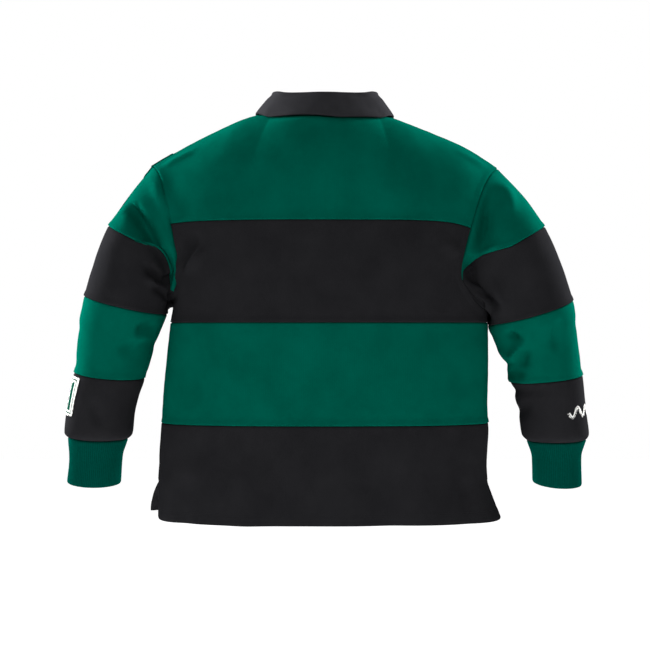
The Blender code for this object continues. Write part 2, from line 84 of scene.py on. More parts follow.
def feed(made, inputs):
    """Gives a node's sockets their values, or what feeds them: a socket, or a node for its first output."""
    for place, value in inputs.items():
        value = value.outputs[0] if isinstance(value, bpy.types.Node) else value
        if isinstance(value, bpy.types.NodeSocket):
            made.id_data.links.new(value, made.inputs[place])
        else:
            made.inputs[place].default_value = value


def node(tree, kind, inputs=(), **settings):
    """Adds a node, with settings for its own properties."""
    made = tree.nodes.new(kind)
    for name, value in settings.items():
        setattr(made, name, value)
    feed(made, dict(inputs))
    return made


camera = bpy.data.objects.new("camera", bpy.data.cameras.new("camera"))
camera.location = CAMERA_PLACE
camera.rotation_euler = (math.radians(90), 0, math.radians(180))
camera.data.sensor_width, camera.data.lens = SENSOR, LENS
bpy.context.scene.collection.objects.link(camera)
bpy.context.scene.camera = camera

Lamp = namedtuple("Lamp", "name place size power")
LAMPS = (
    Lamp("side_lamp", (2.3, -1.0, 0.7), (0.7, 1.6), 290),
    Lamp("key_lamp", (3.2, 2.4, 2.3), (0.7, 0.7), 46),
    Lamp("front_lamp", (-0.3, 2.0, 0.9), (0.8, 0.8), 14),
    Lamp("far_lamp", (-2.2, -1.1, 0.9), (0.8, 1.4), 250),
)
for lamp in LAMPS:
    light = bpy.data.lights.new(lamp.name, "AREA")
    light.shape, light.energy = "RECTANGLE", lamp.power
    light.size, light.size_y = lamp.size
    holder = bpy.data.objects.new(lamp.name, light)
    holder.location = lamp.place
    holder.rotation_euler = (Vector(AIM) - Vector(lamp.place)).to_track_quat("-Z", "Y").to_euler()
    bpy.context.scene.collection.objects.link(holder)


world = bpy.data.worlds.new("studio")
world.use_nodes = True
bpy.context.scene.world = world
tree = world.node_tree
# White where it is seen directly or in gloss, and dimmer as a light.
path = node(tree, "ShaderNodeLightPath").outputs
seen = node(tree, "ShaderNodeMath", {0: path["Is Camera Ray"], 1: path["Is Glossy Ray"]}, operation="MAXIMUM")
strength = node(tree, "ShaderNodeMapRange", {0: seen, 3: WORLD_LIGHT, 4: 1.0})
feed(tree.nodes["Background"], {"Color": (1, 1, 1, 1), "Strength": strength})

floor_mesh = bpy.data.meshes.new("floor")
corners = [(x * FLOOR_HALF, y * FLOOR_HALF, FLOOR_HEIGHT) for x, y in ((-1, -1), (1, -1), (1, 1), (-1, 1))]
floor_mesh.from_pydata(corners, [], [(0, 1, 2, 3)])
floor = bpy.data.objects.new("floor", floor_mesh)
bpy.context.scene.collection.objects.link(floor)
# Matt white paper: it keeps the shirt's shadow, and its own glow brings the rest of it up to white.
paper = bpy.data.materials.new("matt_white_paper")
paper.use_nodes = True
tree = paper.node_tree
path = node(tree, "ShaderNodeLightPath").outputs
glow = node(tree, "ShaderNodeMapRange", {0: path["Is Camera Ray"], 4: PAPER_GLOW})
shine = {"Emission Color": (1, 1, 1, 1), "Emission Strength": glow}
feed(tree.nodes["Principled BSDF"], {"Base Color": linear("#F4F4F4"), "Roughness": 0.9, **shine})
floor_mesh.materials.append(paper)
floor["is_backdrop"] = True
bpy.context.scene.view_settings.view_transform = "Standard"

# ----------------------------------------------------------
# The body: nine blocks of heavy cotton jersey, four to the back and five to the front, cut straight across
# and overlocked together, then seamed at the shoulders and sides. All come from one skin, a torso in level
# sections with the shoulders rolled over, so that blocks share their seam lines.
JERSEY = 1.6
SEAM_GAP = 0.3

Section = namedtuple("Section", "height left right back front")
TORSO = (
    Section(-686, 286, 300, 104, 112),
    Section(-621, 286, 280, 106, 114),
    Section(-596, 285, 278, 106, 115),
    Section(-521, 282, 281, 108, 117),
    Section(-432, 274, 280, 111, 120),
    Section(-377, 268, 280, 114, 122),
    Section(-345, 265, 280, 115, 123),
    Section(-325, 262, 280, 116, 123),
    Section(-250, 268, 283, 118, 125),
    Section(-181, 274, 286, 116, 121),
)
TURN = 2 / 2.5  # the sections' rounding, from the exponent of their outline
HEM, VENT, LOW_SEAM, MID_SEAM, UNDERARM, HIGH_SEAM, TOP = range(7)
LEVEL_HEIGHT = {VENT: -621, LOW_SEAM: -521, MID_SEAM: -350, HIGH_SEAM: -181}
HEM_HEIGHT = {"back": -686, "front": -678}
UNDERARM_LEFT, UNDERARM_RIGHT = -322, -336
Vent = namedtuple("Vent", "width bend")
VENTS = {
    ("back", 1): Vent(286, 1),
    ("back", -1): Vent(303, 1),
    ("front", 1): Vent(301, 2),
    ("front", -1): Vent(294, 1.5),
}
VENT_SPREAD = 7
Armhole = namedtuple("Armhole", "rise back_left back_right front_left front_right")
ARMHOLE = (
    Armhole(0.00, 264, 279, 264, 279),
    Armhole(0.10, 261, 259, 259, 266),
    Armhole(0.25, 257, 241, 251, 255),
    Armhole(0.45, 253, 227, 245, 248),
    Armhole(0.65, 252, 230, 245, 248),
    Armhole(0.82, 255, 236, 249, 251),
    Armhole(1.00, 259, 243, 255, 256),
)
Shoulder = namedtuple("Shoulder", "run left_x left_y left_z right_x right_y right_z")
SHOULDER = (
    Shoulder(0.00, 88, 0, 12, 88, 0, 12),
    Shoulder(0.25, 140, 0, -1, 136, 0, -5),
    Shoulder(0.50, 190, 2, -23, 188, 0, -27),
    Shoulder(0.75, 243, 6, -50, 242, 0, -50),
    Shoulder(1.00, 296, 9, -82, 297, 0, -85),
)
NECK_HALF, NECK_HEIGHT, NECK_BEND = 88, 12, 1.6
NECK_DEPTH = {"back": 70, "front": 88}
NECK_DROP = {"back": 10, "front": 84}
NECK_RISE = {"back": 0.7, "front": 2.4}
TOP_RISE, TOP_RISE_OUT, TOP_LEAN_OUT = 0.1, 0.12, 0.5
YOKE_REACH, BELOW_SEAM = 1.12, 0.05
SLOT_COLUMN, STRIP_COLUMN, NECK_COLUMN = 0.045, 0.06, 0.36
SLOT_HALF, STRIP_HALF = 13, 17
FOOT_SHARE = 0.6
PLACKET_FOOT = UNDERARM + FOOT_SHARE

# The hem's corners hang a little higher than the hem.
HEM_CORNER = 4
# How far the high seam sags towards each armhole, where the sleeve's drag pulls it down.
SEAM_SAG = {1: 3, -1: 12}

# The grid of the skin: about this far between lines, and closer to every cut edge.
CLOTH_STEP = 4.2
EDGE_STEPS = (0.7, 1.6, 3.0)


def curve(knots, values, at):
    """Smooth curve through values at rising knots, read at the given places, that never swings past them."""
    knots, values, at = (np.asarray(a, float) for a in (knots, values, at))
    step = np.diff(knots).reshape(-1, *[1] * (values.ndim - 1))
    slope = np.diff(values, axis=0) / step
    before, after = slope[:-1], slope[1:]
    onward = before * after > 0
    inner = np.where(onward, 2 * before * after / np.where(onward, before + after, 1), 0)
    tangent = np.concatenate([slope[:1], inner, slope[-1:]])
    i = np.clip(np.searchsorted(knots, at, side="right") - 1, 0, len(knots) - 2)
    wide = step[i]
    t = ((at - knots[i]) / (knots[i + 1] - knots[i])).reshape(wide.shape)
    return (
        (1 + 2 * t) * (1 - t) ** 2 * values[i]
        + t * (1 - t) ** 2 * wide * tangent[i]
        + t * t * (3 - 2 * t) * values[i + 1]
        + t * t * (t - 1) * wide * tangent[i + 1]
    )


def read(table, by, column, at):
    """One column of a table, read smoothly at places along another."""
    knots, values = zip(*sorted((getattr(row, by), getattr(row, column)) for row in table))
    at = np.asarray(at, float)
    return curve(knots, values, at.ravel()).reshape(at.shape)


def unit(vectors):
    """Vectors at a length of 1."""
    return vectors / np.linalg.norm(vectors, axis=-1, keepdims=True)


def run_along(points):
    """The distance along a row of points to each of them."""
    return np.concatenate([[0], np.cumsum(np.linalg.norm(np.diff(points, axis=0), axis=1))])


def ease(t):
    """A smooth step from 0 to 1."""
    t = np.clip(t, 0, 1)
    return t * t * (3 - 2 * t)


def lines(length, step=CLOTH_STEP, low=True, high=True):
    """Shares of a length from 0 to 1 for grid lines, with the close ones of a cut edge at either end."""
    start = [0, *(s / length for s in EDGE_STEPS)] if low else [0]
    end = [*(1 - s / length for s in EDGE_STEPS[::-1]), 1] if high else [1]
    count = max(1, round((end[0] - start[-1]) * length / step))
    return np.concatenate([start[:-1], np.linspace(start[-1], end[0], count + 1), end[1:]])


def level_height(side, level, column):
    """The height of a level line: the hem lifts at its corners and the high seam sags towards the armholes."""
    underarm = UNDERARM_RIGHT + (UNDERARM_LEFT - UNDERARM_RIGHT) * (column + 1) / 2
    sag = np.where(column > 0, SEAM_SAG[1], SEAM_SAG[-1]) * np.abs(column) ** 5
    hem = HEM_HEIGHT[side] + HEM_CORNER * np.abs(column) ** 9
    flat = [LEVEL_HEIGHT[n] for n in (VENT, LOW_SEAM, MID_SEAM)]
    return np.choose(level, [hem, *flat, underarm, LEVEL_HEIGHT[HIGH_SEAM] - sag])


def middle_width(column):
    """How far out the middle columns are, straight up the placket's slit and the edges of its strip."""
    return np.interp(np.abs(column), (0, SLOT_COLUMN, STRIP_COLUMN), (0, SLOT_HALF, STRIP_HALF))


def torso_points(side, column, row):
    """Points of the torso below the high seam, for arrays of columns and rows."""
    column, row = np.broadcast_arrays(np.asarray(column, float), np.asarray(row, float))
    level = np.minimum(row.astype(int), UNDERARM)
    low, high = level_height(side, level, column), level_height(side, level + 1, column)
    height = low + (high - low) * (row - level)
    depth = read(TORSO, "height", side, height)
    points = np.zeros((*row.shape, 3))
    for hand, name in ((1, "left"), (-1, "right")):
        vent = VENTS[side, hand]
        flare = np.clip(1 - (np.clip(row, 0, VENT) / VENT) ** vent.bend, 0, 1)
        hanging = read(TORSO, "height", name, LEVEL_HEIGHT[VENT])
        width = read(TORSO, "height", name, height)
        width = np.where(row < VENT, hanging + flare * (vent.width - hanging), width)
        vent_angle = np.arccos((VENT_SPREAD * flare / depth) ** (1 / TURN))
        edge = read(ARMHOLE, "rise", f"{side}_{name}", np.clip(row - UNDERARM, 0, 1))
        arm_angle = np.arcsin(np.minimum(1, edge / width) ** (1 / TURN))
        edge_angle = np.where(row < VENT, vent_angle, np.where(row > UNDERARM, arm_angle, math.pi / 2))
        strip_angle = np.arcsin((middle_width(column) / width) ** (1 / TURN))
        beyond = np.clip((np.abs(column) - STRIP_COLUMN) / (1 - STRIP_COLUMN), 0, 1)
        angle = strip_angle + (edge_angle - strip_angle) * beyond
        out = (1 if side == "back" else -1) * depth * np.clip(np.cos(angle), 0, 1) ** TURN
        place = np.stack([hand * width * np.sin(angle) ** TURN, out, height], axis=-1)
        mine = (column >= 0) == (hand == 1)
        points[mine] = place[mine]
    return points


def top_points(side, columns):
    """Points of a panel's top edge, neckline then shoulder seam, and the way the panel runs into it."""
    sign, hand = (1 if side == "back" else -1), np.where(columns >= 0, 1, -1)
    run = np.clip((np.abs(columns) - NECK_COLUMN) / (1 - NECK_COLUMN), 0, 1)
    place = {}
    for name in ("left", "right"):
        place[name] = np.stack([read(SHOULDER, "run", f"{name}_{axis}", run) for axis in "xyz"], axis=-1)
    seam = np.where((hand == 1)[:, None], place["left"], place["right"])
    seam[:, 0] *= hand
    seam_into = np.stack([hand * TOP_LEAN_OUT * run**3, -sign + 0 * run, TOP_RISE + TOP_RISE_OUT * run**3], 1)
    strip_angle = np.arcsin(middle_width(columns) / NECK_HALF)
    beyond = np.clip((np.abs(columns) - STRIP_COLUMN) / (NECK_COLUMN - STRIP_COLUMN), 0, 1)
    angle = strip_angle + (math.pi / 2 - strip_angle) * beyond
    middle = np.clip(np.cos(angle), 0, 1)
    height = NECK_HEIGHT - NECK_DROP[side] * middle**NECK_BEND
    neck = np.stack([hand * NECK_HALF * np.sin(angle), sign * NECK_DEPTH[side] * middle, height], 1)
    neck_into = np.stack([0 * middle, -sign + 0 * middle, TOP_RISE + NECK_RISE[side] * middle], 1)
    at_shoulder = (np.abs(columns) >= NECK_COLUMN)[:, None]
    return np.where(at_shoulder, seam, neck), unit(np.where(at_shoulder, seam_into, neck_into))


def yoke_points(side, columns, rows):
    """Points above the high seam, where the cloth rolls over the shoulder to the top edge."""
    start = torso_points(side, columns, HIGH_SEAM)
    before = torso_points(side, columns, HIGH_SEAM - BELOW_SEAM)
    end, into = top_points(side, columns)
    reach = YOKE_REACH * np.linalg.norm(end - start, axis=1, keepdims=True)
    away, into = unit(start - before) * reach, into * reach
    t = (rows - HIGH_SEAM)[:, None, None]
    from_start = (1 + 2 * t) * (1 - t) ** 2 * start + t * (1 - t) ** 2 * away
    return from_start + t * t * (3 - 2 * t) * end + t * t * (t - 1) * into


class Cloth:
    """A grid of skin, rows by columns. A sleeve's columns go all the way round. way is 1 where its outside is
    to the left of its rows, seen along them, and -1 where it is to the right."""

    def __init__(self, name, rows, columns, points, way=1, closed=False):
        self.name, self.rows, self.columns = name, np.asarray(rows), np.asarray(columns)
        self.points, self.way, self.closed = points, way, closed
        self.settle()

    @property
    def wide(self):
        """The points with a closed grid's first column given again at its end."""
        return np.concatenate([self.points, self.points[:, :1]], axis=1) if self.closed else self.points

    def quads(self):
        """The corners of every face as indices into the flat grid, and as places in the wide grid."""
        count_rows, count = self.points.shape[:2]
        r, c = np.mgrid[0 : count_rows - 1, 0 : self.wide.shape[1] - 1]
        rows, cols = np.stack([r, r, r + 1, r + 1], -1), np.stack([c, c + 1, c + 1, c], -1)
        return rows * count + cols % count, (rows, cols)

    def measure_normals(self):
        flat = self.points.reshape(-1, 3)
        loops = self.quads()[0].reshape(-1, 4)
        a, b, c, d = (flat[loops[:, k]] for k in range(4))
        across = np.cross(c - a, d - b) * self.way
        total = np.zeros_like(flat)
        for k in range(4):
            np.add.at(total, loops[:, k], across)
        self.normals = total.reshape(self.points.shape)

    def settle(self):
        self.measure_normals()
        self.normals = unit(self.normals)


# Rows of the body from the hem to the shoulder, each stretch with its length as drawn.
body_rows = np.concatenate(
    [
        HEM + lines(65, high=False)[:-1],
        VENT + lines(100, low=False)[:-1],
        LOW_SEAM + lines(171)[:-1],
        MID_SEAM + lines(22, high=False)[:-1],
        UNDERARM + FOOT_SHARE * lines(89, high=False)[:-1],
        PLACKET_FOOT + (1 - FOOT_SHARE) * lines(59, low=False)[:-1],
        HIGH_SEAM + lines(190),
    ]
)
half_columns = np.concatenate(
    [
        np.linspace(0, SLOT_COLUMN, 4)[:-1],
        np.linspace(SLOT_COLUMN, STRIP_COLUMN, 3)[:-1],
        STRIP_COLUMN + (NECK_COLUMN - STRIP_COLUMN) * lines(102, low=False, high=False)[:-1],
        NECK_COLUMN + (1 - NECK_COLUMN) * lines(225, low=False),
    ]
)
body_columns = np.concatenate([-half_columns[:0:-1], half_columns])
body = {}
for side in ("back", "front"):
    below = torso_points(side, body_columns[None, :], body_rows[body_rows <= HIGH_SEAM][:, None])
    grid = np.concatenate([below, yoke_points(side, body_columns, body_rows[body_rows > HIGH_SEAM])])
    body[side] = Cloth("body", body_rows, body_columns, grid, -1 if side == "back" else 1)

# ----------------------------------------------------------
# The sleeves: four blocks each, cap, upper, lower and wrist, joined round the arm and set flat into the
# armhole. Each hangs from its armhole edge as a row of rings, and its cap's lower seam curls down beside the
# body. The elbows are a little bent, so the cloth crumples inside them.
Ring = namedtuple("Ring", "station outer_x outer_z inner_x inner_z middle_y depth lean")
SLEEVE = {
    1: (
        Ring(127, 371, -184, 265, -236, 0, 76, 2),
        Ring(257, 414, -303, 270, -336, -2, 68, 6),
        Ring(323, 426, -366, 289, -381, -8, 60, 5),
        Ring(389, 435, -435, 310, -447, -16, 54, 5),
        Ring(420, 443, -468, 322, -476, -20, 51, 5),
        Ring(450, 450, -501, 330, -506, -24, 48, 5),
        Ring(492, 455, -540, 335, -543, -30, 45, 5),
        Ring(508, 449, -549, 343, -552, -33, 38, 4),
    ),
    -1: (
        Ring(127, 375, -186, 236, -265, 8, 82, 0),
        Ring(257, 424, -311, 277, -354, 12, 69, 7),
        Ring(275, 428, -328, 280, -367, 10, 67, 7),
        Ring(323, 435, -375, 297, -397, -3, 61, 6),
        Ring(389, 446, -440, 320, -453, -16, 55, 5),
        Ring(420, 450, -472, 328, -481, -20, 52, 5),
        Ring(450, 454, -505, 335, -510, -24, 49, 5),
        Ring(492, 459, -543, 341, -545, -30, 46, 5),
        Ring(508, 455, -552, 350, -555, -33, 39, 5),
    ),
}
SLEEVE_SEAMS = (127, 257, 389, 508)
CAP_BULGE = {1: 3, -1: 6}
CAP_BULGE_WAY = np.array([0.79, 0, 0.61])
Curl = namedtuple("Curl", "starts beside ends outward down")
CURL = {1: Curl(98, 136, 154, 8, 2), -1: Curl(88, 112, 118, 5, 2)}
CURL_NARROWS, CURL_LEAST = 16, 0.25
HAND_NAME = {1: "left", -1: "right"}


def ring_points(ring, hand, angles):
    """The points of one sleeve ring at the given angles round the arm, 0 at the top and 180 inside."""
    outer, inner = np.array([ring.outer_x, ring.outer_z]), np.array([ring.inner_x, ring.inner_z])
    middle, half = (outer + inner) / 2, (outer - inner) / 2
    cos, sin = np.cos(angles), np.sin(angles)
    across, down = hand * (middle[0] + half[0] * cos), middle[1] + half[1] * cos - ring.lean * sin
    return np.stack([across, ring.middle_y + ring.depth * sin, down], 1)


def curled(ring, armhole, hand, angles):
    """The cap's lower seam: a ring whose inner part lies beside the armhole."""
    curl = CURL[hand]
    round_in = np.degrees(np.arccos(np.cos(angles)))
    share = ease((round_in - curl.starts) / (curl.beside - curl.starts))[:, None]
    narrow = 1 - (1 - CURL_LEAST) * np.exp(-(((round_in - curl.ends) / CURL_NARROWS) ** 2))[:, None]
    return (1 - share) * ring + share * (armhole + narrow * (hand * curl.outward, 0, -curl.down))


# The armhole loop runs from the top down the back edge and up the front edge.
arm_rows = np.flatnonzero(body_rows >= UNDERARM)[::-1]
sleeve_stations = [0]
for low, high in zip((0, *SLEEVE_SEAMS), SLEEVE_SEAMS):
    sleeve_stations = [*sleeve_stations[:-1], *(low + (high - low) * lines(high - low))]
sleeves = {}
for hand in (1, -1):
    side_column = -1 if hand == 1 else 0
    halves = [body["back"].points[arm_rows, side_column], body["front"].points[arm_rows, side_column]]
    angles = []
    for half, sign in zip(halves, (1, -1)):
        run = run_along(half)
        angles.append(sign * math.pi * run / run[-1])
    angles = np.concatenate([angles[0], angles[1][-2:0:-1]])
    armhole = np.concatenate([halves[0], halves[1][-2:0:-1]])
    rings = SLEEVE[hand]
    shapes = [ring_points(ring, hand, angles) for ring in rings]
    shapes[0] = curled(shapes[0], armhole, hand, angles)
    rise = np.clip(np.cos(angles), 0, 1)[:, None] * CAP_BULGE[hand] * CAP_BULGE_WAY * (hand, 1, 1)
    shapes = [armhole, (armhole + shapes[0]) / 2 + rise, *shapes]
    knots = [0, rings[0].station / 2, *(ring.station for ring in rings)]
    grid = curve(knots, shapes, sleeve_stations)
    sleeves[hand] = Cloth(f"sleeve_{HAND_NAME[hand]}", sleeve_stations, np.degrees(angles), grid, -hand, True)


def measure_skin():
    """Normals of every cloth, shared where the cloths meet: shoulders, sides and armholes."""
    cloths = [*body.values(), *sleeves.values()]
    for cloth in cloths:
        cloth.measure_normals()
    back, front = body["back"].normals, body["front"].normals
    at_side = (body_rows >= VENT) & (body_rows <= UNDERARM)
    at_shoulder = np.abs(body_columns) >= NECK_COLUMN
    for place in ((at_side, 0), (at_side, -1), (-1, at_shoulder)):
        back[place] = front[place] = back[place] + front[place]
    for hand, sleeve in sleeves.items():
        side_column, count = (-1 if hand == 1 else 0), len(arm_rows)
        turned = np.concatenate([[0], np.arange(len(sleeve.columns) - 1, count - 2, -1)])
        back_loop, front_loop = sleeve.normals[0, :count].copy(), sleeve.normals[0, turned].copy()
        back_loop += back[arm_rows, side_column]
        front_loop[1:-1] += front[arm_rows[1:-1], side_column]
        front_loop[0], front_loop[-1] = back_loop[0], back_loop[-1]
        sleeve.normals[0, :count] = back[arm_rows, side_column] = back_loop
        sleeve.normals[0, turned] = front[arm_rows, side_column] = front_loop
    for cloth in cloths:
        cloth.normals = unit(cloth.normals)


# The creases, as seen square on to the side that they face: a trough from one place to another, or a ridge
# where its depth is negative. a is x for the back and front, and y for the left and right. bend bows the line
# to its left, looking along it, and lean makes it steeper on its right. fades says which ends die away, and
# cloth which one has the crease, or is empty where it runs on over the seams.
Crease = namedtuple("Crease", "a0 z0 a1 z1 width depth bend lean fades cloth", defaults=(0, 0, "both", ""))
FACING = {"back": (0, 1), "front": (0, -1), "left": (1, 0), "right": (-1, 0)}
CREASES = {
    "back": (
        # The back. Drag from the shoulders into the underarms, and the trough inside each sleeve's cap.
        Crease(336, -150, 266, -240, 17, 8, -6, 0.2, "none"),
        Crease(324, -154, 256, -278, 10, 20, -13, 0.3, "none", "sleeve_left"),
        Crease(300, -92, 262, -205, 12, -10, -8),
        Crease(352, -128, 322, -196, 13, -6),
        Crease(-284, -135, -263, -240, 15, 5, 0, 0, "none"),
        Crease(-270, -112, -248, -250, 13, 18, -8, 0, "both", "sleeve_right"),
        Crease(-296, -106, -312, -176, 13, -10, -5),
        Crease(-250, -236, -292, -217, 5, -7, 2),
        Crease(240, -270, 203, -220, 7, -14, 3, 0.3),
        Crease(212, -196, 250, -254, 11, 11),
        Crease(-224, -244, -196, -208, 12, -5),
        # Crumpled cloth under the arms and inside the elbows.
        Crease(304, -250, 262, -284, 8, 12, 4, 0, "start"),
        Crease(300, -271, 268, -291, 6, -10, 3),
        Crease(292, -284, 262, -308, 7, 10, 0, 0, "start"),
        Crease(-243, -254, -274, -322, 12, 27, 5, 0, "none", "sleeve_right"),
        Crease(-276, -272, -292, -330, 9, -6),
        Crease(282, -352, 322, -372, 7, 12, 4),
        Crease(292, -374, 326, -384, 7, -6, 2),
        Crease(318, -386, 350, -402, 12, 6),
        Crease(-300, -366, -334, -386, 8, 18, 3),
        Crease(-332, -384, -320, -424, 6, -14, 6, 0.3),
        Crease(-342, -392, -334, -432, 9, 12, 3),
        Crease(-396, -338, -388, -404, 9, 8, 3),
        Crease(-310, -428, -340, -446, 9, 12, 2),
        Crease(-352, -478, -336, -520, 9, 6, 3),
        Crease(392, -470, 384, -534, 10, 6, 2),
        Crease(424, -318, 430, -372, 10, -5),
        # The shoulders' edges, the cloth pushed up under the collar, and slow folds down the body.
        Crease(285, -88, 210, -51, 5, -5),
        Crease(-285, -90, -215, -55, 6, -4),
        Crease(95, -13, -40, -16, 7, -5),
        Crease(232, -370, 214, -500, 24, 6, 6),
        Crease(-238, -400, -226, -560, 26, 6, -8),
        Crease(120, -560, 132, -686, 30, -6, 4, 0, "start"),
        Crease(-96, -540, -112, -686, 34, 6, 4, 0, "start"),
        Crease(222, -600, 238, -686, 20, 6, 4, 0, "start"),
        Crease(-232, -600, -246, -686, 20, 6, -4, 0, "start"),
        Crease(40, -60, 24, -170, 40, 4, 8),
    ),
    "front": (
        # The front, creased in the same way but never the same.
        Crease(330, -158, 268, -250, 16, 8, 5, 0, "none"),
        Crease(-325, -152, -264, -248, 15, 8, 4, 0, "none"),
        Crease(296, -96, 258, -214, 13, -8, 6),
        Crease(-302, -102, -262, -196, 12, -10, -6),
        Crease(238, -264, 196, -208, 11, -7, 5, 0.2),
        Crease(-232, -282, -204, -204, 12, -7, -5, 0.2),
        Crease(236, -290, 196, -262, 14, 3, 3),
        Crease(-240, -262, -214, -206, 14, 3, -3),
        Crease(306, -254, 266, -290, 8, 12, 4, 0, "start"),
        Crease(-308, -250, -270, -296, 8, 12, -4, 0, "start"),
        Crease(-300, -276, -272, -312, 7, -8),
        Crease(284, -346, 330, -372, 8, 12, 4),
        Crease(-288, -356, -334, -378, 8, 14, -4),
        Crease(-306, -386, -352, -400, 8, 10, -3),
        Crease(306, -392, 352, -408, 9, 10, 3),
        Crease(388, -366, 408, -420, 11, -6, 3),
        Crease(26, -244, 60, -330, 16, 6, 6),
        Crease(-24, -240, -44, -300, 14, 6, -5),
        Crease(196, -372, 212, -520, 24, 6, 6),
        Crease(-216, -360, -200, -500, 24, 6, -6),
        Crease(96, -560, 108, -680, 30, 6, 4, 0, "start"),
        Crease(-128, -548, -140, -680, 30, -6, 4, 0, "start"),
        Crease(104, -40, 150, -120, 22, 6, 8),
        Crease(-108, -44, -140, -132, 24, 6, -8),
    ),
    "left": (
        # The left sleeve's outer side, then the inner side of the right one, where its elbow's crumples come
        # through, and the body, pulled a little by the vent.
        Crease(-44, -236, 20, -262, 10, 2, 4, 0, "both", "sleeve_left"),
        Crease(30, -352, -32, -376, 9, 2, -4, 0, "both", "sleeve_left"),
        Crease(-46, -410, 12, -424, 10, 1.5, 3, 0, "both", "sleeve_left"),
        Crease(-50, -372, 44, -376, 8, 2, 0, 0, "none", "sleeve_right"),
        Crease(-50, -396, 44, -404, 9, -2, 0, 0, "none", "sleeve_right"),
        Crease(-60, -426, 34, -420, 7, 4.5, 0, 0, "none", "sleeve_right"),
        Crease(-60, -444, 34, -448, 7, -3, 0, 0, "none", "sleeve_right"),
        Crease(-64, -470, 34, -466, 7, 4, 0, 0, "none", "sleeve_right"),
        Crease(-64, -500, 34, -504, 9, 3, 0, 0, "both", "sleeve_right"),
        Crease(-70, -420, 10, -560, 20, 2, 8, 0, "both", "body"),
    ),
    "right": (
        # The same the other way about.
        Crease(-40, -228, 24, -258, 10, 2, 4, 0, "both", "sleeve_right"),
        Crease(34, -346, -30, -372, 9, 2, -4, 0, "both", "sleeve_right"),
        Crease(-44, -418, 10, -430, 10, 1.5, 3, 0, "both", "sleeve_right"),
        Crease(-50, -392, 40, -384, 9, 2, 0, 0, "none", "sleeve_left"),
        Crease(-60, -440, 34, -446, 9, 2, 0, 0, "both", "sleeve_left"),
        Crease(66, -400, -16, -548, 20, 2, -8, 0, "both", "body"),
    ),
}
AT_ARMHOLE, FADE_SHARE, FADE_LEAST = 25, 0.45, 0.05

# Slow waves of the hanging cloth: how long each is across and down, and how high. They stand a little inside
# the skin, so that their crests don't widen the shirt.
Wave = namedtuple("Wave", "across down height")
WAVES = (Wave(150, 260, 2.4), Wave(58, 105, 1.2), Wave(24, 34, 0.3))
WAVES_INSIDE = 1.2


def crease_depths(name, points, normals, stations):
    """How far the creases move each point of a cloth out."""
    moved = np.zeros(len(points))
    for facing, crease in ((facing, crease) for facing in CREASES for crease in CREASES[facing]):
        if crease.cloth and not name.startswith(crease.cloth):
            continue
        way = np.array([*FACING[facing], 0])
        seen = points[:, [0, 2]] if way[0] == 0 else points[:, [1, 2]]
        start, end = np.array([crease.a0, crease.z0]), np.array([crease.a1, crease.z1])
        length = np.linalg.norm(end - start)
        along = (end - start) / length
        t = np.clip((seen - start) @ along / length, 0, 1)
        past = (seen - start) @ along - t * length
        side = (seen - start) @ np.array([-along[1], along[0]]) - crease.bend * 4 * t * (1 - t)
        width = crease.width * (1 + crease.lean * np.sign(side))
        strength = np.sqrt(np.clip(normals @ way, 0, 1)) * np.exp(-(side**2 + past**2) / width**2)
        if crease.fades in ("start", "both"):
            strength = strength * ease(t / FADE_SHARE + FADE_LEAST)
        if crease.fades in ("end", "both"):
            strength = strength * ease((1 - t) / FADE_SHARE + FADE_LEAST)
        if crease.cloth == "body":
            strength = strength * ease((UNDERARM_RIGHT - points[:, 2]) / AT_ARMHOLE)
        elif crease.cloth:
            strength = strength * ease(stations / AT_ARMHOLE)
        moved -= crease.depth * strength
    return moved


def wave_heights(points):
    """How far the slow waves move each point out."""
    moved = np.full(len(points), -WAVES_INSIDE)
    for wave in WAVES:
        scaled = points / (wave.across, wave.across, wave.down)
        moved += wave.height * np.array([noise.noise(Vector(p)) for p in scaled])
    return moved


measure_skin()
for cloth in (*body.values(), *sleeves.values()):
    flat, normals = cloth.points.reshape(-1, 3), cloth.normals.reshape(-1, 3)
    stations = np.broadcast_to(cloth.rows[:, None], cloth.points.shape[:2]).ravel()
    moved = crease_depths(cloth.name, flat, normals, stations) + wave_heights(flat)
    cloth.points = (flat + normals * moved[:, None]).reshape(cloth.points.shape)
measure_skin()


def lengths(cloth):
    """Distances along the cloth in millimetres, across its rows and down its columns."""
    wide = cloth.wide
    across = np.zeros(wide.shape[:2])
    across[:, 1:] = np.cumsum(np.linalg.norm(np.diff(wide, axis=1), axis=2), axis=1)
    if not cloth.closed:
        across -= across[:, [wide.shape[1] // 2]]
    down = np.zeros(wide.shape[:2])
    down[1:] = np.cumsum(np.linalg.norm(np.diff(wide, axis=0), axis=2), axis=0)
    return across, down


def distance_to(places, points, far=1e3):
    """How far each point is from the nearest of some places."""
    if not len(places):
        return np.full(len(points), far)
    tree = KDTree(len(places))
    for i, place in enumerate(places):
        tree.insert(place, i)
    tree.balance()
    return np.array([tree.find(p)[2] for p in points])


# Seams dip by this much, over this far. On the side to which the seam allowance is pressed, the cloth
# stands up over it.
SEAM_DIP, SEAM_REACH, SEAM_OVERLAP = 1.5, 1.2, 0.12
ALLOWANCE_RISE, ALLOWANCE_STARTS, ALLOWANCE_WIDTH, ALLOWANCE_ENDS = 0.9, 1.5, 7, 4
LIP_RISE, LIP_PLACE, LIP_REACH = 0.9, 2, 1.5
PUCKER_HEIGHT, PUCKER_LENGTH, PUCKER_REACH, PUCKER_STARTS = 0.45, 13, 9, 2
# A free edge rounds over, and a turned-up hem stands proud as far as the groove of its stitches.
EDGE_DROP, EDGE_REACH = 0.5, 0.8
HEM_WIDTH, HEM_THICKER, HEM_RISE, HEM_END, GROOVE, GROOVE_REACH = 19, 1.3, 0.35, 1.5, 0.45, 1.2
# The inside rises with the outside only this far, and an edge steeper than this shows sharp.
INSIDE_RISE, SHARP_ANGLE = 0.4, 55


